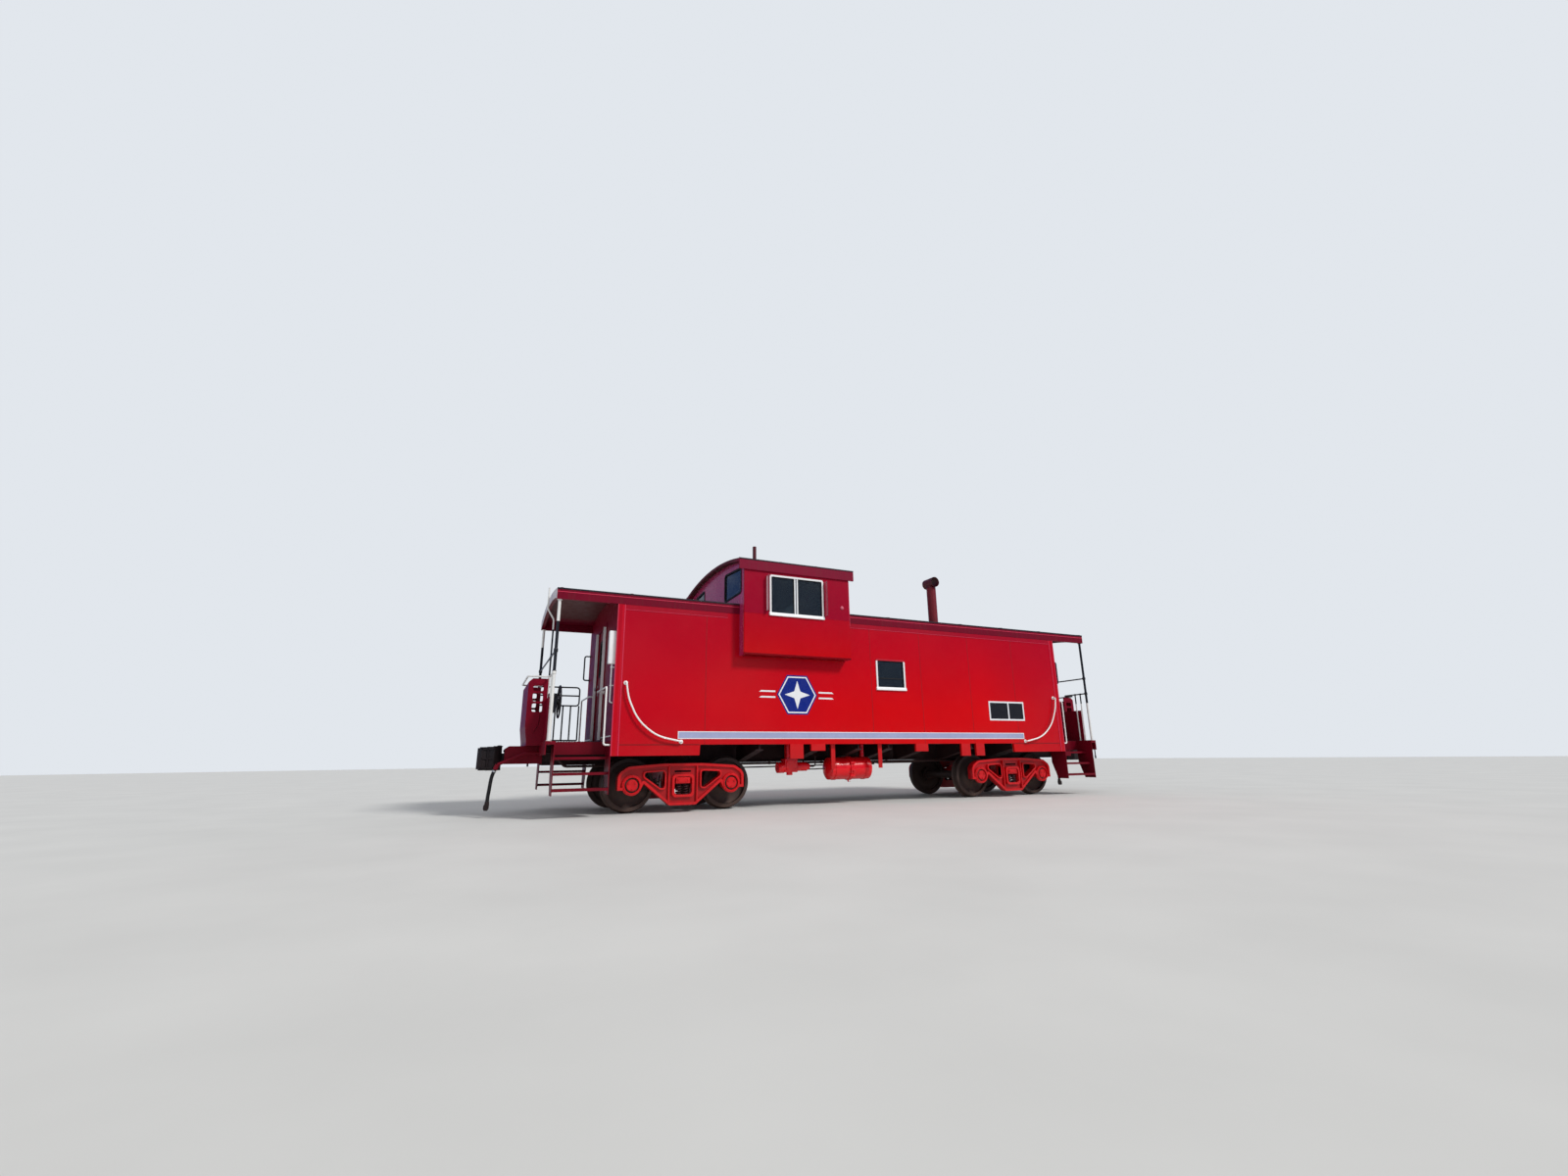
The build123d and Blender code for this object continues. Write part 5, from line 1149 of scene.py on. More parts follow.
def make_bearings(end, cx):
    bm = bmesh.new()
    for side in (-1, 1):
        x, y, z = cx + side * HALF_BASE, -1.030, AXLE_Z
        add_lathe(bm, BEARING_RING, (x, y, z), OUTWARDS, 36)
        for u, w in circle_of(3, 90, 0.147):
            add_bolt(bm, (x + u, y - 0.065, z + w), OUTWARDS, 0.011, 0.012)
    spread(bm, MIRROR)
    piece(f"bearing_rings_{end}", bm, truck_red, f"truck_{end}")


def make_caps(number, cx):
    bm = bmesh.new()
    face = -BEARING_Y1 - 0.024
    add_lathe(bm, AXLE_CAP, (cx, face, AXLE_Z), OUTWARDS, 32)
    for u, w in circle_of(3, 30, 0.062):
        add_bolt(bm, (cx + u, face - 0.006, AXLE_Z + w), OUTWARDS, 0.015, 0.016)
    spread(bm, MIRROR)
    piece(f"axle_caps_{number}", bm, truck_red, f"axle_{number}")


for end, cx in ENDS:
    make_bearings(end, cx)
for number, cx in enumerate((cx + side * HALF_BASE for end, cx in ENDS for side in (-1, 1)), 1):
    make_caps(number, cx)

# Pipes under the floor: the brake pipe along the car and its branches, as bend, radius, sides, points
PIPE_Z = 0.745
COCK_Z = FLOOR_Z - 0.160
CROSS_X = 2.550
TANK_PIPE_Z = 0.930
VALVE_Y = -0.870
VALVE_Z = RAIL + 0.655
VALVE_PIPE_X = -0.990
LINK_X, LINK_Y, LINK_Z = -0.940, -0.775, 0.630
PIPES = (
    (0.10, 0.020, 12, ((5.755, HOSE_Y, COCK_Z), (5.560, HOSE_Y, COCK_Z), (5.360, HOSE_Y, PIPE_Z),
                       (CROSS_X, HOSE_Y, PIPE_Z), (CROSS_X, -HOSE_Y, PIPE_Z), (-5.360, -HOSE_Y, PIPE_Z),
                       (-5.560, -HOSE_Y, COCK_Z), (-5.755, -HOSE_Y, COCK_Z))),
    (0.05, 0.013, 10, ((TANK_X, TANK_Y, RAIL + 0.812), (TANK_X, TANK_Y, TANK_PIPE_Z),
                       (TANK_X, -0.560, TANK_PIPE_Z), (TANK_X, -HOSE_Y, TANK_PIPE_Z),
                       (TANK_X, -HOSE_Y, PIPE_Z))),
    (0.05, 0.013, 10, ((-1.135, VALVE_Y, VALVE_Z), (VALVE_PIPE_X, VALVE_Y, VALVE_Z),
                       (VALVE_PIPE_X, VALVE_Y, 0.900), (VALVE_PIPE_X, -HOSE_Y, 0.900),
                       (VALVE_PIPE_X, -HOSE_Y, PIPE_Z))),
    (0.04, 0.011, 10, ((-1.405, LINK_Y, LINK_Z), (LINK_X, LINK_Y, LINK_Z), (LINK_X, TANK_Y, TANK_Z),
                       (-0.795, TANK_Y, TANK_Z))),
    (0.05, 0.013, 10, ((0.490, 0.560, PIPE_Z), (0.400, 0.560, PIPE_Z), (0.400, -HOSE_Y, PIPE_Z))),
)
PIPE_COLLARS = (4.9, 4.45, 3.1, -1.7, -0.6, 0.9, 2.0, -3.1, -4.45, -4.9)
LEVER_X = 5.812
LEVER_Y = -1.310
LEVER_Z = 0.950


def make_pipes():
    bm = bmesh.new()
    for bend, radius, sides, line in PIPES:
        add_pipe(bm, line, radius, bend, sides)
    for x in PIPE_COLLARS:
        y = HOSE_Y if x > CROSS_X else -HOSE_Y
        add_lathe(bm, band_profile(0.020, 0.026, 0.016), (x, y, PIPE_Z), (1, 0, 0), 12)
    piece("brake_pipes", bm, frame_dark, "body")


def make_levers():
    """The levers that open the couplers, on their brackets."""
    bm = bmesh.new()
    inner_y = -0.275
    lever = [(LEVER_X, LEVER_Y, 0.760), (LEVER_X, LEVER_Y, LEVER_Z), (LEVER_X, inner_y, LEVER_Z),
             (6.310, inner_y, LEVER_Z), (6.310, inner_y, 1.058), (6.350, -0.040, 1.058)]
    add_pipe(bm, lever, 0.012, 0.035)
    add_pipe(bm, [(LEVER_X, LEVER_Y, 0.740), (LEVER_X, LEVER_Y, 0.800)], 0.017)
    for y in (-1.150, -0.420):
        add_box(bm, ROOF_X, 5.826, y - 0.020, y + 0.020, 0.930, 0.936)
        add_box(bm, ROOF_X, 5.776, y - 0.020, y + 0.020, 0.930, 1.030)
        add_bolt(bm, (5.776, y, 1.005), (1, 0, 0), 0.010, 0.008)
    spread(bm, TURN)
    piece("uncoupling_levers", bm, rail_black, "body", 0.0015)


make_pipes()
make_levers()

# Grating on the steps and the platforms. Each tread: its outer edge and its top
TREADS = ((1.395, RAIL + 0.400), (1.310, RAIL + 0.630), (1.215, RAIL + 0.860))
TREAD_D = 0.250
LONG_BARS = 8
CROSS_BARS = 16
DECK_BARS = 23


def spaced(count, low, high):
    """Even places from low to high."""
    return [low + k * (high - low) / (count - 1) for k in range(count)]


def make_gratings():
    bm = bmesh.new()
    for outer, top in TREADS:
        for y in spaced(LONG_BARS, -outer + 0.016, -outer + TREAD_D - 0.016):
            add_box(bm, BODY_X + 0.014, STEP_X1 - 0.014, y - 0.0025, y + 0.0025, top - 0.002, top + 0.004)
        for x in spaced(CROSS_BARS, BODY_X + 0.035, STEP_X1 - 0.035):
            y0, y1 = -outer + 0.008, -outer + TREAD_D - 0.008
            add_box(bm, x - 0.002, x + 0.002, y0, y1, top - 0.002, top + 0.0025)
        nose = box_outline(-outer - 0.004, -outer + 0.004, top - 0.034, top + 0.006)
        add_prism(bm, nose, "x", BODY_X + 0.013, STEP_X1 - 0.013)
    spread(bm, MIRROR)
    spread(bm, TURN)
    piece("step_gratings", bm, platform_red, "body")

    bm = bmesh.new()
    for x in spaced(DECK_BARS, BODY_X + 0.030, ROOF_X - 0.030):
        half = 0.985 if x < STEP_X1 else 1.385
        add_box(bm, x - 0.003, x + 0.003, -half, half, FLOOR_Z - 0.001, FLOOR_Z + 0.005)
    spread(bm, TURN)
    piece("platform_gratings", bm, deck_grey, "body")


make_gratings()

# Trims on the car's ends
CASING_IN, CASING_OUT, CASING_TOP = 0.353, 0.410, 0.430
BOX_Y = 1.303
BOX_Z0, BOX_Z1 = RAIL + 2.300, RAIL + 2.840


def make_roof_trims():
    bm = bmesh.new()
    low = WALL_TOP + 0.004
    outer = arc_points(ROOF_Y - 0.002, EAVE_Z - 0.004, ROOF_RISE)
    inner = arc_points(ROOF_Y - 0.050, EAVE_Z - 0.150, ROOF_RISE)
    outline = [(outer[0][0], low)] + outer + [(outer[-1][0], low), (inner[-1][0], low)]
    outline += list(reversed(inner)) + [(inner[0][0], low)]
    add_prism(bm, outline, "x", ROOF_X - 0.002, ROOF_X + 0.004)
    spread(bm, TURN)
    piece("roof_end_trims", bm, trim_pale, "body", 0.001)


def make_casings():
    bm = bmesh.new()
    back = BODY_X - 0.002
    for y0, y1, z0, z1 in ((-CASING_OUT, -CASING_IN, DOOR_LOW, DOOR_HIGH),
                           (CASING_IN, CASING_OUT, DOOR_LOW, DOOR_HIGH),
                           (-CASING_TOP, CASING_TOP, DOOR_HIGH, DOOR_HIGH + 0.060)):
        add_box(bm, back, BODY_X + 0.012, y0, y1, z0, z1)
    add_box(bm, back, BODY_X + 0.014, -0.350, 0.350, FLOOR_Z + 0.002, FLOOR_Z + 0.028)
    spread(bm, TURN)
    piece("door_casings", bm, end_red, "body", 0.002)

    bm = bmesh.new()
    front, low, high = BODY_X + 0.010, DOOR_LOW + 0.010, DOOR_HIGH - 0.010
    for side in (-1, 1):
        add_box(bm, front, BODY_X + 0.056, side * 0.380, side * 0.396, low, high)
        add_box(bm, back, front, side * 0.420, side * 1.310, RAIL + 1.165, RAIL + 1.187)
    spread(bm, TURN)
    piece("end_strips", bm, frame_white, "body", 0.001)


def make_end_boxes():
    """The white box beside each door, with its lid and the pipe below it."""
    bm = bmesh.new()
    add_prism(bm, rounded(1.262, 1.345, BOX_Z0, BOX_Z1, 0.012, 3), "x", BODY_X - 0.002, BODY_X + 0.100)
    lid = rounded(1.269, 1.338, BOX_Z0 + 0.012, BOX_Z1 - 0.012, 0.008, 3)
    add_prism(bm, lid, "x", BODY_X + 0.099, BODY_X + 0.106)
    pipe_x = BODY_X + 0.040
    line = [(pipe_x, BOX_Y, BOX_Z0 + 0.010), (pipe_x, BOX_Y, RAIL + 1.700), (BODY_X, BOX_Y, RAIL + 1.690)]
    add_pipe(bm, line, 0.013, 0.02, 12)
    for z in (RAIL + 2.250, RAIL + 1.960):
        add_box(bm, BODY_X, BODY_X + 0.058, BOX_Y - 0.018, BOX_Y + 0.018, z - 0.008, z + 0.008)
    for z in (BOX_Z0 + 0.040, BOX_Z1 - 0.040):
        add_bolt(bm, (BODY_X + 0.106, BOX_Y, z), (1, 0, 0), 0.006, 0.004)
    spread(bm, TURN)
    piece("end_boxes", bm, frame_white, "body", 0.002)


make_roof_trims()
make_casings()
make_end_boxes()

# Door fittings: window rubber, panels, kick plate, lock and knobs
DOOR_BACK = BODY_X - 0.050
DOOR_FRONT = DOOR_BACK + 0.042
DOOR_WIN = (-0.200, 0.200, DOOR_HIGH - 0.826, DOOR_HIGH - 0.206)
LOCK_Y, LOCK_Z = -0.270, FLOOR_Z + 0.950
KNOB = ((0.018, 0.0), (0.018, 0.030), (0.030, 0.034), (0.034, 0.046), (0.030, 0.056), (0.0, 0.060))
KEYHOLE = ((0.010, 0.0), (0.010, 0.007), (0.0, 0.007))


def rounded_by(outline, grow, radius):
    """A rounded outline round a window's sizes, grown by an amount."""
    y0, y1, z0, z1 = outline
    return rounded(y0 - grow, y1 + grow, z0 - grow, z1 + grow, radius)


def make_door(end, move):
    bm = bmesh.new()
    outer, inner = rounded_by(DOOR_WIN, 0.020, 0.022), rounded_by(DOOR_WIN, -0.016, 0.014)
    add_frame(bm, outer, inner, "x", DOOR_FRONT - 0.012, DOOR_FRONT + 0.006, 1)
    add_frame(bm, outer, inner, "x", DOOR_BACK - 0.006, DOOR_BACK + 0.012, 1)
    for x0, x1 in ((DOOR_FRONT - 0.002, DOOR_FRONT + 0.003), (DOOR_BACK - 0.003, DOOR_BACK + 0.002)):
        kick_plate = rounded(-0.315, 0.315, DOOR_LOW + 0.030, DOOR_LOW + 0.270, 0.010, 3)
        add_prism(bm, kick_plate, "x", x0, x1, 2)
        for low, high in ((0.330, 0.640), (0.700, 1.010)):
            panel = (-0.235, 0.285, DOOR_LOW + low, DOOR_LOW + high)
            add_frame(bm, rounded_by(panel, 0.0, 0.030), rounded_by(panel, -0.020, 0.014), "x", x0, x1)
    for y in (-0.285, 0.0, 0.285):
        for z in (DOOR_LOW + 0.050, DOOR_LOW + 0.250):
            add_bolt(bm, (DOOR_FRONT + 0.003, y, z), (1, 0, 0), 0.006, 0.004, 2)
    for x, along in ((DOOR_FRONT, 1), (DOOR_BACK, -1)):
        plate = rounded(LOCK_Y - 0.032, LOCK_Y + 0.032, LOCK_Z - 0.120, LOCK_Z + 0.070, 0.016, 3)
        add_prism(bm, plate, "x", *sorted((x - along * 0.002, x + along * 0.004)), 3)
        add_lathe(bm, KNOB, (x + along * 0.002, LOCK_Y, LOCK_Z), (along, 0, 0), 20, 3)
        add_lathe(bm, KEYHOLE, (x, LOCK_Y, LOCK_Z - 0.080), (along, 0, 0), 12, 3)
    bmesh.ops.transform(bm, matrix=move, verts=bm.verts[:])
    materials = [end_red, rubber_black, platform_red, steel_grey]
    piece(f"door_fittings_{end}", bm, materials, f"door_{end}", 0.001)


make_door("right", Matrix.Identity(4))
make_door("left", TURN)

# Feet, flanges and collars of the rails
FLANGE = ((0.0, 0.0), (1.0, 0.0), (1.0, 0.005), (0.55, 0.009), (0.5, 0.016))
POST_COLLAR = ((0.0, -0.028), (0.030, -0.028), (0.033, -0.022), (0.033, 0.022), (0.030, 0.028), (0.0, 0.028))
RAIL_LOW, RAIL_HIGH = RAIL + 2.130, RAIL + 2.470
BALUSTERS = (1.190, 1.050, -1.050, -1.190, 0.600)


def disc(radius, low, high):
    """The profile of a solid disc."""
    return [(0.0, low), (radius, low), (radius, high), (0.0, high)]


def add_flange(bm, spot, direction, size, bolts=2):
    """A round foot plate with its bolts, below a bar."""
    add_lathe(bm, [(size * share, height) for share, height in FLANGE], spot, direction, 20)
    along = Vector(direction)
    across = Vector((0, 0, 1)) if abs(along.z) < 0.5 else Vector((0, 1, 0))
    other = along.cross(across)
    for u, w in circle_of(bolts, 0, size * 0.78):
        add_bolt(bm, Vector(spot) + along * 0.005 + across * u + other * w, direction, size * 0.15, 0.006)


def make_rail_feet():
    bm = bmesh.new()
    for x, z in ((4.630, RAIL + 2.000), (3.700, RAIL + 1.085)):
        add_flange(bm, (x, -BODY_Y, z), OUTWARDS, 0.034)
    spread(bm, MIRROR)
    for side in (-1, 1):
        add_flange(bm, (BODY_X, side * 0.460, RAIL + 1.930), (1, 0, 0), 0.034)
    spread(bm, TURN)
    piece("grab_iron_feet", bm, grab_white, "body")

    bm = bmesh.new()
    for z in (RAIL + 2.330, RAIL + 2.800):
        add_flange(bm, (BODY_X, -1.325, z), (1, 0, 0), 0.032)
    spread(bm, TURN)
    piece("post_grab_feet", bm, rail_black, "body")


def make_post_collars():
    bm = bmesh.new()
    up = (0, 0, 1)
    small = disc(0.019, -0.018, 0.018)
    for y in (POST_Y, -POST_Y):
        add_flange(bm, (POST_X, y, FLOOR_Z), up, 0.044, 4)
        add_lathe(bm, disc(0.040, 0.0, 0.008), (POST_X, y, WALL_TOP - 0.008), up, 20)
        for z in (RAIL_HIGH, RAIL_LOW):
            add_lathe(bm, POST_COLLAR, (POST_X, y, z), up, 20)
    for y in BALUSTERS:
        add_flange(bm, (POST_X, y, FLOOR_Z), up, 0.032)
        add_lathe(bm, small, (POST_X, y, RAIL_LOW), (0, 1, 0), 14)
    add_lathe(bm, small, (POST_X, BALUSTERS[-1], RAIL_HIGH), (0, 1, 0), 14)
    piece("post_collars_right", bm.copy(), dark_post_paint, "body")
    bmesh.ops.transform(bm, matrix=TURN, verts=bm.verts[:])
    piece("post_collars_left", bm, post_paint, "body")


make_rail_feet()
make_post_collars()

# Hand brakes: cover, pawl and chain
BRAKE_X, BRAKE_Y, BRAKE_Z = 5.620, 0.900, RAIL + 1.720
BRAKE_COVER = ((0.096, 0.0), (0.096, 0.008), (0.078, 0.018), (0.046, 0.020))
BRAKE_HUB = ((0.0, -0.034), (0.018, -0.034), (0.030, -0.026), (0.030, 0.0))
PAWL_KNOB = ((0.0, 0.0), (0.016, 0.006), (0.016, 0.018), (0.0, 0.024))
LINKS = 12


def add_link(bm, middle, high, wide, wire, turn):
    """One oval link of a hanging chain."""
    line = []
    for k in range(13):
        angle = 2 * math.pi * k / 12
        across = wide / 2 * math.cos(angle)
        step = Vector((across * math.cos(turn), across * math.sin(turn), high / 2 * math.sin(angle)))
        line.append(Vector(middle) + step)
    add_pipe(bm, line, wire, 0, 6)


def make_hand_brakes():
    bm = bmesh.new()
    x, y, z = BRAKE_X, BRAKE_Y, BRAKE_Z
    inwards = (-1, 0, 0)
    add_lathe(bm, BRAKE_COVER, (x + 0.001, y, z), inwards, 32)
    for u, w in circle_of(6, 30, 0.086):
        add_bolt(bm, (x - 0.008, y + u, z + w), inwards, 0.008, 0.007)
    add_lathe(bm, BRAKE_HUB, (x - 0.050, y, z), (1, 0, 0), 20)
    pawl = [(x + 0.020, y + 0.105, z + 0.060), (x + 0.020, y + 0.135, z + 0.060),
            (x - 0.010, y + 0.160, z + 0.105)]
    add_pipe(bm, pawl, 0.009, 0.01)
    add_lathe(bm, PAWL_KNOB, (x - 0.010, y + 0.160, z + 0.100), (0, 0, 1), 12)
    low = z - 0.170
    add_box(bm, x + 0.048, x + 0.072, y - 0.018, y + 0.018, low - 0.030, low + 0.002)
    top = low - 0.026
    pitch = (top - FLOOR_Z) / LINKS
    for k in range(LINKS):
        middle = (x + 0.060, y, top - (k + 0.5) * pitch)
        add_link(bm, middle, pitch + 0.008, 0.026, 0.0045, math.pi / 2 * (k % 2))
    spread(bm, TURN)
    piece("hand_brake_chains", bm, rail_black, "body")


make_hand_brakes()

# Coupler castings and the bay's small fittings
COUPLER_Z = RAIL + 0.860
COUPLER_X0 = 6.420
RIB_Y = (0.150, 0.192)
PIN_CAP = ((0.0, 0.0), (0.034, 0.0), (0.034, 0.012), (0.0, 0.016))


def make_coupler_castings():
    bm = bmesh.new()
    mid = COUPLER_Z
    for x in (COUPLER_X0, COUPLER_X0 + 0.086, COUPLER_X0 + 0.172):
        add_box(bm, x, x + 0.018, *RIB_Y, mid - 0.155, mid + 0.155)
    for z in (mid - 0.155, mid - 0.010, mid + 0.135):
        add_box(bm, COUPLER_X0, COUPLER_X0 + 0.190, *RIB_Y, z, z + 0.020)
    add_box(bm, 6.300, 6.440, -0.090, 0.090, mid + 0.183, mid + 0.196)
    add_lathe(bm, PIN_CAP, (6.350, 0.0, mid + 0.194), (0, 0, 1), 16)
    for y in (-0.140, 0.140):
        for z in (mid + 0.120, mid - 0.070):
            add_bolt(bm, (6.272, y, z), (1, 0, 0), 0.016, 0.012)
    spread(bm, TURN)
    piece("coupler_castings", bm, coupler_iron, "body", 0.003)


def make_bay_fittings():
    bm = bmesh.new()
    for side in (-1, 1):
        y = side * 0.712
        line = [(5.835, y, RAIL + 1.520), (5.845, y, RAIL + 1.380), (5.905, y, RAIL + 1.250)]
        add_pipe(bm, line, 0.008, 0.06, 8)
        for x, z in ((5.835, RAIL + 1.500), (5.888, RAIL + 1.290)):
            add_bolt(bm, (x, side * 0.700, z), (0, side, 0), 0.010, 0.010)
        for z in (RAIL + 1.703, RAIL + 1.866, RAIL + 2.010):
            add_box(bm, 5.800, 5.956, side * 0.699, side * 0.706, z, z + 0.006)
    spread(bm, TURN)
    piece("bay_fittings", bm, end_red, "body")

    bm = bmesh.new()
    add_prism(bm, rounded(-1.235, -1.105, RAIL + 1.010, RAIL + 1.040, 0.014, 4), "x", 5.772, 5.800)
    spread(bm, TURN)
    piece("end_handles", bm, frame_white, "body", 0.003)


make_coupler_castings()
make_bay_fittings()

# Small parts on the tank, the control valve and the brake cylinder
DRAIN = ((0.0, 0.0), (0.016, 0.0), (0.016, 0.030), (0.010, 0.034), (0.010, 0.052), (0.0, 0.052))
PLUG = ((0.0, -0.01), (0.028, -0.01), (0.028, 0.004), (0.020, 0.004), (0.020, 0.014), (0.0, 0.014))
BAND_R = TANK_R + 0.016
BAND_IN = 0.150
BAND_HALF = 0.015
LUG_ANGLES = (-35, -5, 25, 215)
COVER = (-1.615, -1.425, RAIL + 0.585, RAIL + 0.765)
COVER_Y = -0.974
# Flanges on the valve: face, way it looks, radius of its bolts, height of its middle, number of bolts
VALVE_FLANGES = ((-1.760, -1, 0.070, RAIL + 0.640, 6), (-1.130, 1, 0.042, VALVE_Z, 4))
# Rings round the valve: X, inner and outer radius, half the width, sides
VALVE_RINGS = ((-1.180, 0.060, 0.064, 0.006, 20), (-1.385, 0.078, 0.090, 0.008, 24))
CYLINDER_X, CYLINDER_Y, CYLINDER_Z = 0.880, 0.560, RAIL + 0.690
ROD_Y = 0.300
ROD_ENDS = ((1.020, RAIL + 0.668), (-2.260, RAIL + 0.640))
HANGER_XS = (0.250, -1.250)


def add_tank_fittings(bm):
    x, y, z = TANK_X, TANK_Y, TANK_Z
    add_lathe(bm, DRAIN, (x, y, z - 0.198), (0, 0, -1), 12)
    add_pipe(bm, [(x, y, z - 0.236), (x + 0.050, y, z - 0.240)], 0.005, 0, 8)
    for middle in (-0.022, 0.022):
        low, high = middle - BAND_HALF, middle + BAND_HALF
        band = [(BAND_IN, low), (BAND_R - 0.003, low), (BAND_R, low + 0.004), (BAND_R, high - 0.004),
                (BAND_R - 0.003, high), (BAND_IN, high)]
        add_lathe(bm, band, (x, y, z), (1, 0, 0), 48)
    for angle in LUG_ANGLES:
        lug_y = y - (BAND_R + 0.012) * math.cos(math.radians(angle))
        lug_z = z + (BAND_R + 0.012) * math.sin(math.radians(angle))
        add_box(bm, x - 0.050, x + 0.050, lug_y - 0.012, lug_y + 0.016, lug_z - 0.018, lug_z + 0.018)
    for end, along in ((-0.800, -1), (0.180, 1)):
        add_lathe(bm, PLUG, (end - along * 0.012, y, z), (along, 0, 0), 6)
    for strap in (x - 0.320, x + 0.320):
        for step in (-0.055, 0.055):
            add_bolt(bm, (strap, y - 0.030, z + 0.300 + step), OUTWARDS, 0.012, 0.010)


def add_valve_fittings(bm):
    add_prism(bm, rounded(*COVER, 0.020), "y", COVER_Y, COVER_Y + 0.016)
    for x in (COVER[0] + 0.025, COVER[1] - 0.025):
        for z in (COVER[2] + 0.025, COVER[3] - 0.025):
            add_bolt(bm, (x, COVER_Y, z), OUTWARDS, 0.012, 0.010)
    for face, along, radius, z, count in VALVE_FLANGES:
        for u, w in circle_of(count, 180 / count, radius):
            add_bolt(bm, (face, VALVE_Y + u, z + w), (along, 0, 0), 0.010, 0.009)
    for x, inner, outer, half, sides in VALVE_RINGS:
        add_lathe(bm, band_profile(inner, outer, half), (x, VALVE_Y, VALVE_Z), (1, 0, 0), sides)


def make_brake_rigging():
    bm = bmesh.new()
    for u, w in circle_of(8, 22.5, 0.152):
        add_bolt(bm, (CYLINDER_X, CYLINDER_Y + u, CYLINDER_Z + w), (1, 0, 0), 0.012, 0.010)
    add_pipe(bm, [(x, ROD_Y, z) for x, z in ROD_ENDS], 0.013)
    for (x, z), inwards in zip(ROD_ENDS, (-0.030, 0.030)):
        add_block(bm, (x + inwards, ROD_Y, z), (0.040, 0.022, 0.018))
    top, low = FLOOR_Z - 0.052, RAIL + 0.618
    for x in HANGER_XS:
        y0, y1 = ROD_Y - 0.032, ROD_Y + 0.032
        add_pipe(bm, [(x, y0, top), (x, y0, low), (x, y1, low), (x, y1, top)], 0.006, 0.02, 8)
    for lever_y in (0.110, ROD_Y, CYLINDER_Y, 0.730):
        add_bolt(bm, (1.020, lever_y, RAIL + 0.675), (0, 0, -1), 0.018, 0.014)
    piece("brake_rigging", bm, frame_dark, "body", 0.001)


def make_air_fittings():
    bm = bmesh.new()
    add_tank_fittings(bm)
    add_valve_fittings(bm)
    piece("air_fittings", bm, tank_red, "body", 0.001)


make_air_fittings()
make_brake_rigging()

# Rims and ribs on the cast side frames, and a black strip under each top chord painted as the shadow of a
# slot
WINDOW_CORNERS = ((0.640, 0.608), (0.310, 0.625), (0.310, 0.365), (0.372, 0.360), (0.640, 0.545))


def grown(outline, amount):
    """The outline moved outwards by an amount, point by point."""
    middle = sum((Vector(spot) for spot in outline), Vector((0, 0))) / len(outline)
    points = []
    for k in range(len(outline)):
        along = Vector(outline[(k + 1) % len(outline)]) - Vector(outline[k - 1])
        out = Vector((along.y, -along.x)).normalized()
        spot = Vector(outline[k])
        if out.dot(spot - middle) < 0:
            out = -out
        spot += out * amount
        points.append((spot.x, spot.y))
    return points


def make_frame_rims(end, cx):
    bm = bmesh.new()
    face = -FRAME_Y1
    for side in (-1, 1):
        inner = round_corners([(cx + side * x, RAIL + z) for x, z in WINDOW_CORNERS], 0.040)
        add_frame(bm, grown(inner, 0.024), inner, "y", face - 0.008, face + 0.090)
        rib = (cx + side * 0.226, cx + side * 0.248)
        add_box(bm, *rib, face - 0.006, face + 0.042, RAIL + 0.136, RAIL + 0.706)
    hole = rounded(cx - 0.146, cx + 0.146, RAIL + 0.254, RAIL + 0.536, 0.055)
    add_frame(bm, grown(hole, 0.026), hole, "y", face - 0.014, face + 0.060)
    spread(bm, MIRROR)
    piece(f"frame_rims_{end}", bm, truck_red, f"truck_{end}", 0.003)

    bm = bmesh.new()
    # A black strip painted as the shadow of a slot, not a cut
    slot = rounded(cx - 0.140, cx + 0.140, RAIL + 0.606, RAIL + 0.634, 0.012, 3)
    add_prism(bm, slot, "y", face + 0.034, face + 0.042)
    spread(bm, MIRROR)
    piece(f"frame_slot_shadows_{end}", bm, slot_painted_shadow, f"truck_{end}")


for end, cx in ENDS:
    make_frame_rims(end, cx)


# Ends of the truck bolsters
def make_bolster_ends(end, cx):
    bm = bmesh.new()
    low, high = SPRING_TOP_Z + 0.020, SPRING_TOP_Z + 0.084
    add_prism(bm, rounded(cx - 0.100, cx + 0.100, low, high, 0.012, 3), "y", -1.102, -1.088)
    for x in (-0.050, 0.050):
        add_box(bm, cx + x - 0.012, cx + x + 0.012, -1.104, -1.090, low + 0.002, high - 0.002)
        add_bolt(bm, (cx + x * 1.6, -1.102, (low + high) / 2), OUTWARDS, 0.012, 0.012)
    spread(bm, MIRROR)
    piece(f"bolster_ends_{end}", bm, truck_red, f"truck_{end}", 0.002)


for end, cx in ENDS:
    make_bolster_ends(end, cx)

# Edges and brackets of the wind deflectors, pale pink as painted highlights
DEFLECTOR_XS = (CUP_WIN[0] - 0.060, CUP_WIN[1] + 0.030)
DEFLECTOR_Z0, DEFLECTOR_Z1 = RAIL + 3.320, RAIL + 3.970


def make_deflector_edges():
    bm = bmesh.new()
    low, high = DEFLECTOR_Z0, DEFLECTOR_Z1
    face = -CUP_Y
    for x in DEFLECTOR_XS:
        add_box(bm, x - 0.003, x + 0.013, face - 0.095, face - 0.082, low, high)
        for z in (low, high - 0.013):
            add_box(bm, x - 0.003, x + 0.013, face - 0.090, face, z, z + 0.013)
        for z in (low + 0.080, high - 0.080):
            add_box(bm, x + 0.008, x + 0.040, face - 0.004, face + 0.002, z - 0.020, z + 0.020)
            add_box(bm, x + 0.008, x + 0.014, face - 0.034, face, z - 0.020, z + 0.020)
            add_bolt(bm, (x + 0.028, face - 0.004, z), OUTWARDS, 0.006, 0.005)
    spread(bm, MIRROR)
    piece("deflector_edges", bm, edge_highlight_pink, "body", 0.001)


make_deflector_edges()

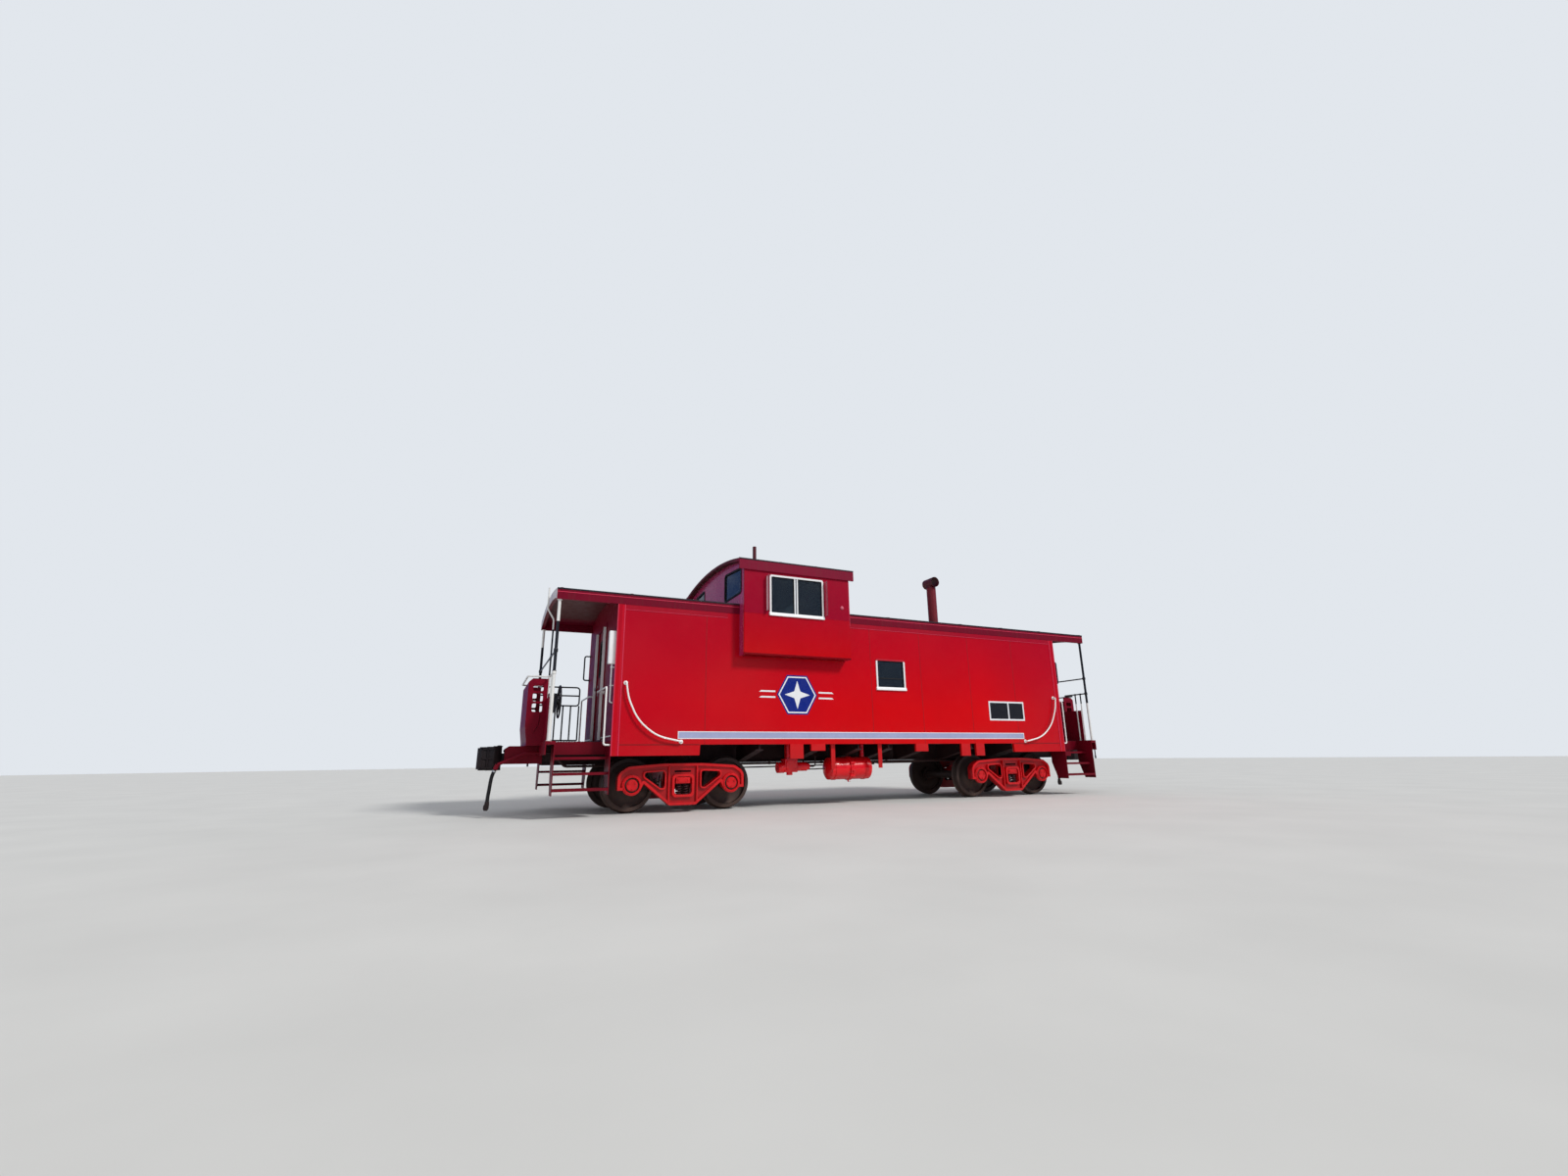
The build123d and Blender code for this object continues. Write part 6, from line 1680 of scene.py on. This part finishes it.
# Cupola seats: soft cushions and backs on steel stems
SEAT_Z = RAIL + 2.760
SEAT_XS = (-2.180, -1.120)
SEAT_Y = 1.010
LOCKER_Z = RAIL + 2.300
STEM = ((0.0, 0.0), (0.095, 0.0), (0.095, 0.012), (0.040, 0.024), (0.034, 0.200), (0.028, 0.204),
        (0.028, 0.322), (0.0, 0.322))
SWELL_STEPS = 20
SWELL_MOST = 0.012


def shaped_mesh(obj):
    """The object's mesh with its modifiers applied."""
    return bpy.data.meshes.new_from_object(obj.evaluated_get(bpy.context.evaluated_depsgraph_get()))


def soft_mesh(name, sizes):
    """A stuffed pad: a rounded block swollen by pressure, no point moved further than SWELL_MOST."""
    bm = bmesh.new()
    bmesh.ops.create_cube(bm, size=1.0)
    bmesh.ops.scale(bm, vec=sizes, verts=bm.verts[:])
    bmesh.ops.bevel(bm, geom=bm.edges[:], offset=min(sizes) * 0.35, segments=4, affect="EDGES", profile=0.6)
    mesh = bpy.data.meshes.new(name)
    bm.to_mesh(mesh)
    bm.free()
    obj = bpy.data.objects.new(name, mesh)
    bpy.context.scene.collection.objects.link(obj)
    remesh = obj.modifiers.new("even", "REMESH")
    remesh.mode = "VOXEL"
    remesh.voxel_size = 0.012
    even = shaped_mesh(obj)
    obj.modifiers.clear()
    obj.data = even
    start = [vertex.co.copy() for vertex in even.vertices]
    cloth = obj.modifiers.new("swell", "CLOTH")
    cloth.settings.effector_weights.gravity = 0.0
    cloth.settings.use_pressure = True
    cloth.settings.uniform_pressure_force = 4.0
    for step in range(SWELL_STEPS):
        bpy.context.scene.frame_set(step + 1)
    swollen = shaped_mesh(obj)
    obj.modifiers.clear()
    bpy.context.scene.frame_set(1)
    for vertex, before in zip(swollen.vertices, start):
        move = vertex.co - before
        if move.length > SWELL_MOST:
            vertex.co = before + move * (SWELL_MOST / move.length)
    obj.data = swollen
    pad = obj.data
    bpy.data.objects.remove(obj)
    for polygon in pad.polygons:
        polygon.use_smooth = True
    pad.materials.clear()
    pad.materials.append(seat_brown)
    return pad


def place_pad(name, pad, spot):
    obj = bpy.data.objects.new(name, pad.copy())
    obj.data.transform(Matrix.Translation(spot))
    bpy.context.scene.collection.objects.link(obj)
    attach(obj, "body")
    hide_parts("cupola_seats")


def make_seats():
    cushion = soft_mesh("cushion", (0.470, 0.470, 0.096))
    rest = soft_mesh("seat_back", (0.062, 0.460, 0.480))
    bm = bmesh.new()
    seats = [(x, side * SEAT_Y, back) for side in (-1, 1) for x, back in zip(SEAT_XS, (-1, 1))]
    for number, (x, y, back) in enumerate(seats, 1):
        place_pad(f"seat_cushion_{number}", cushion, (x - back * 0.010, y, SEAT_Z - 0.060))
        place_pad(f"seat_back_{number}", rest, (x + back * 0.205, y, SEAT_Z + 0.300))
        add_lathe(bm, STEM, (x, y, LOCKER_Z), (0, 0, 1), 20)
        add_box(bm, x - 0.160, x + 0.160, y - 0.120, y + 0.120, SEAT_Z - 0.126, SEAT_Z - 0.112)
        for arm in (y - 0.130, y + 0.130):
            line = [(x, arm, SEAT_Z - 0.118), (x + back * 0.236, arm, SEAT_Z - 0.118),
                    (x + back * 0.242, arm, SEAT_Z + 0.380)]
            add_pipe(bm, line, 0.010, 0.03, 8)
    frames = piece("seat_frames", bm, rail_black, "body", 0.001)
    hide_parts("cupola_seats")


make_seats()
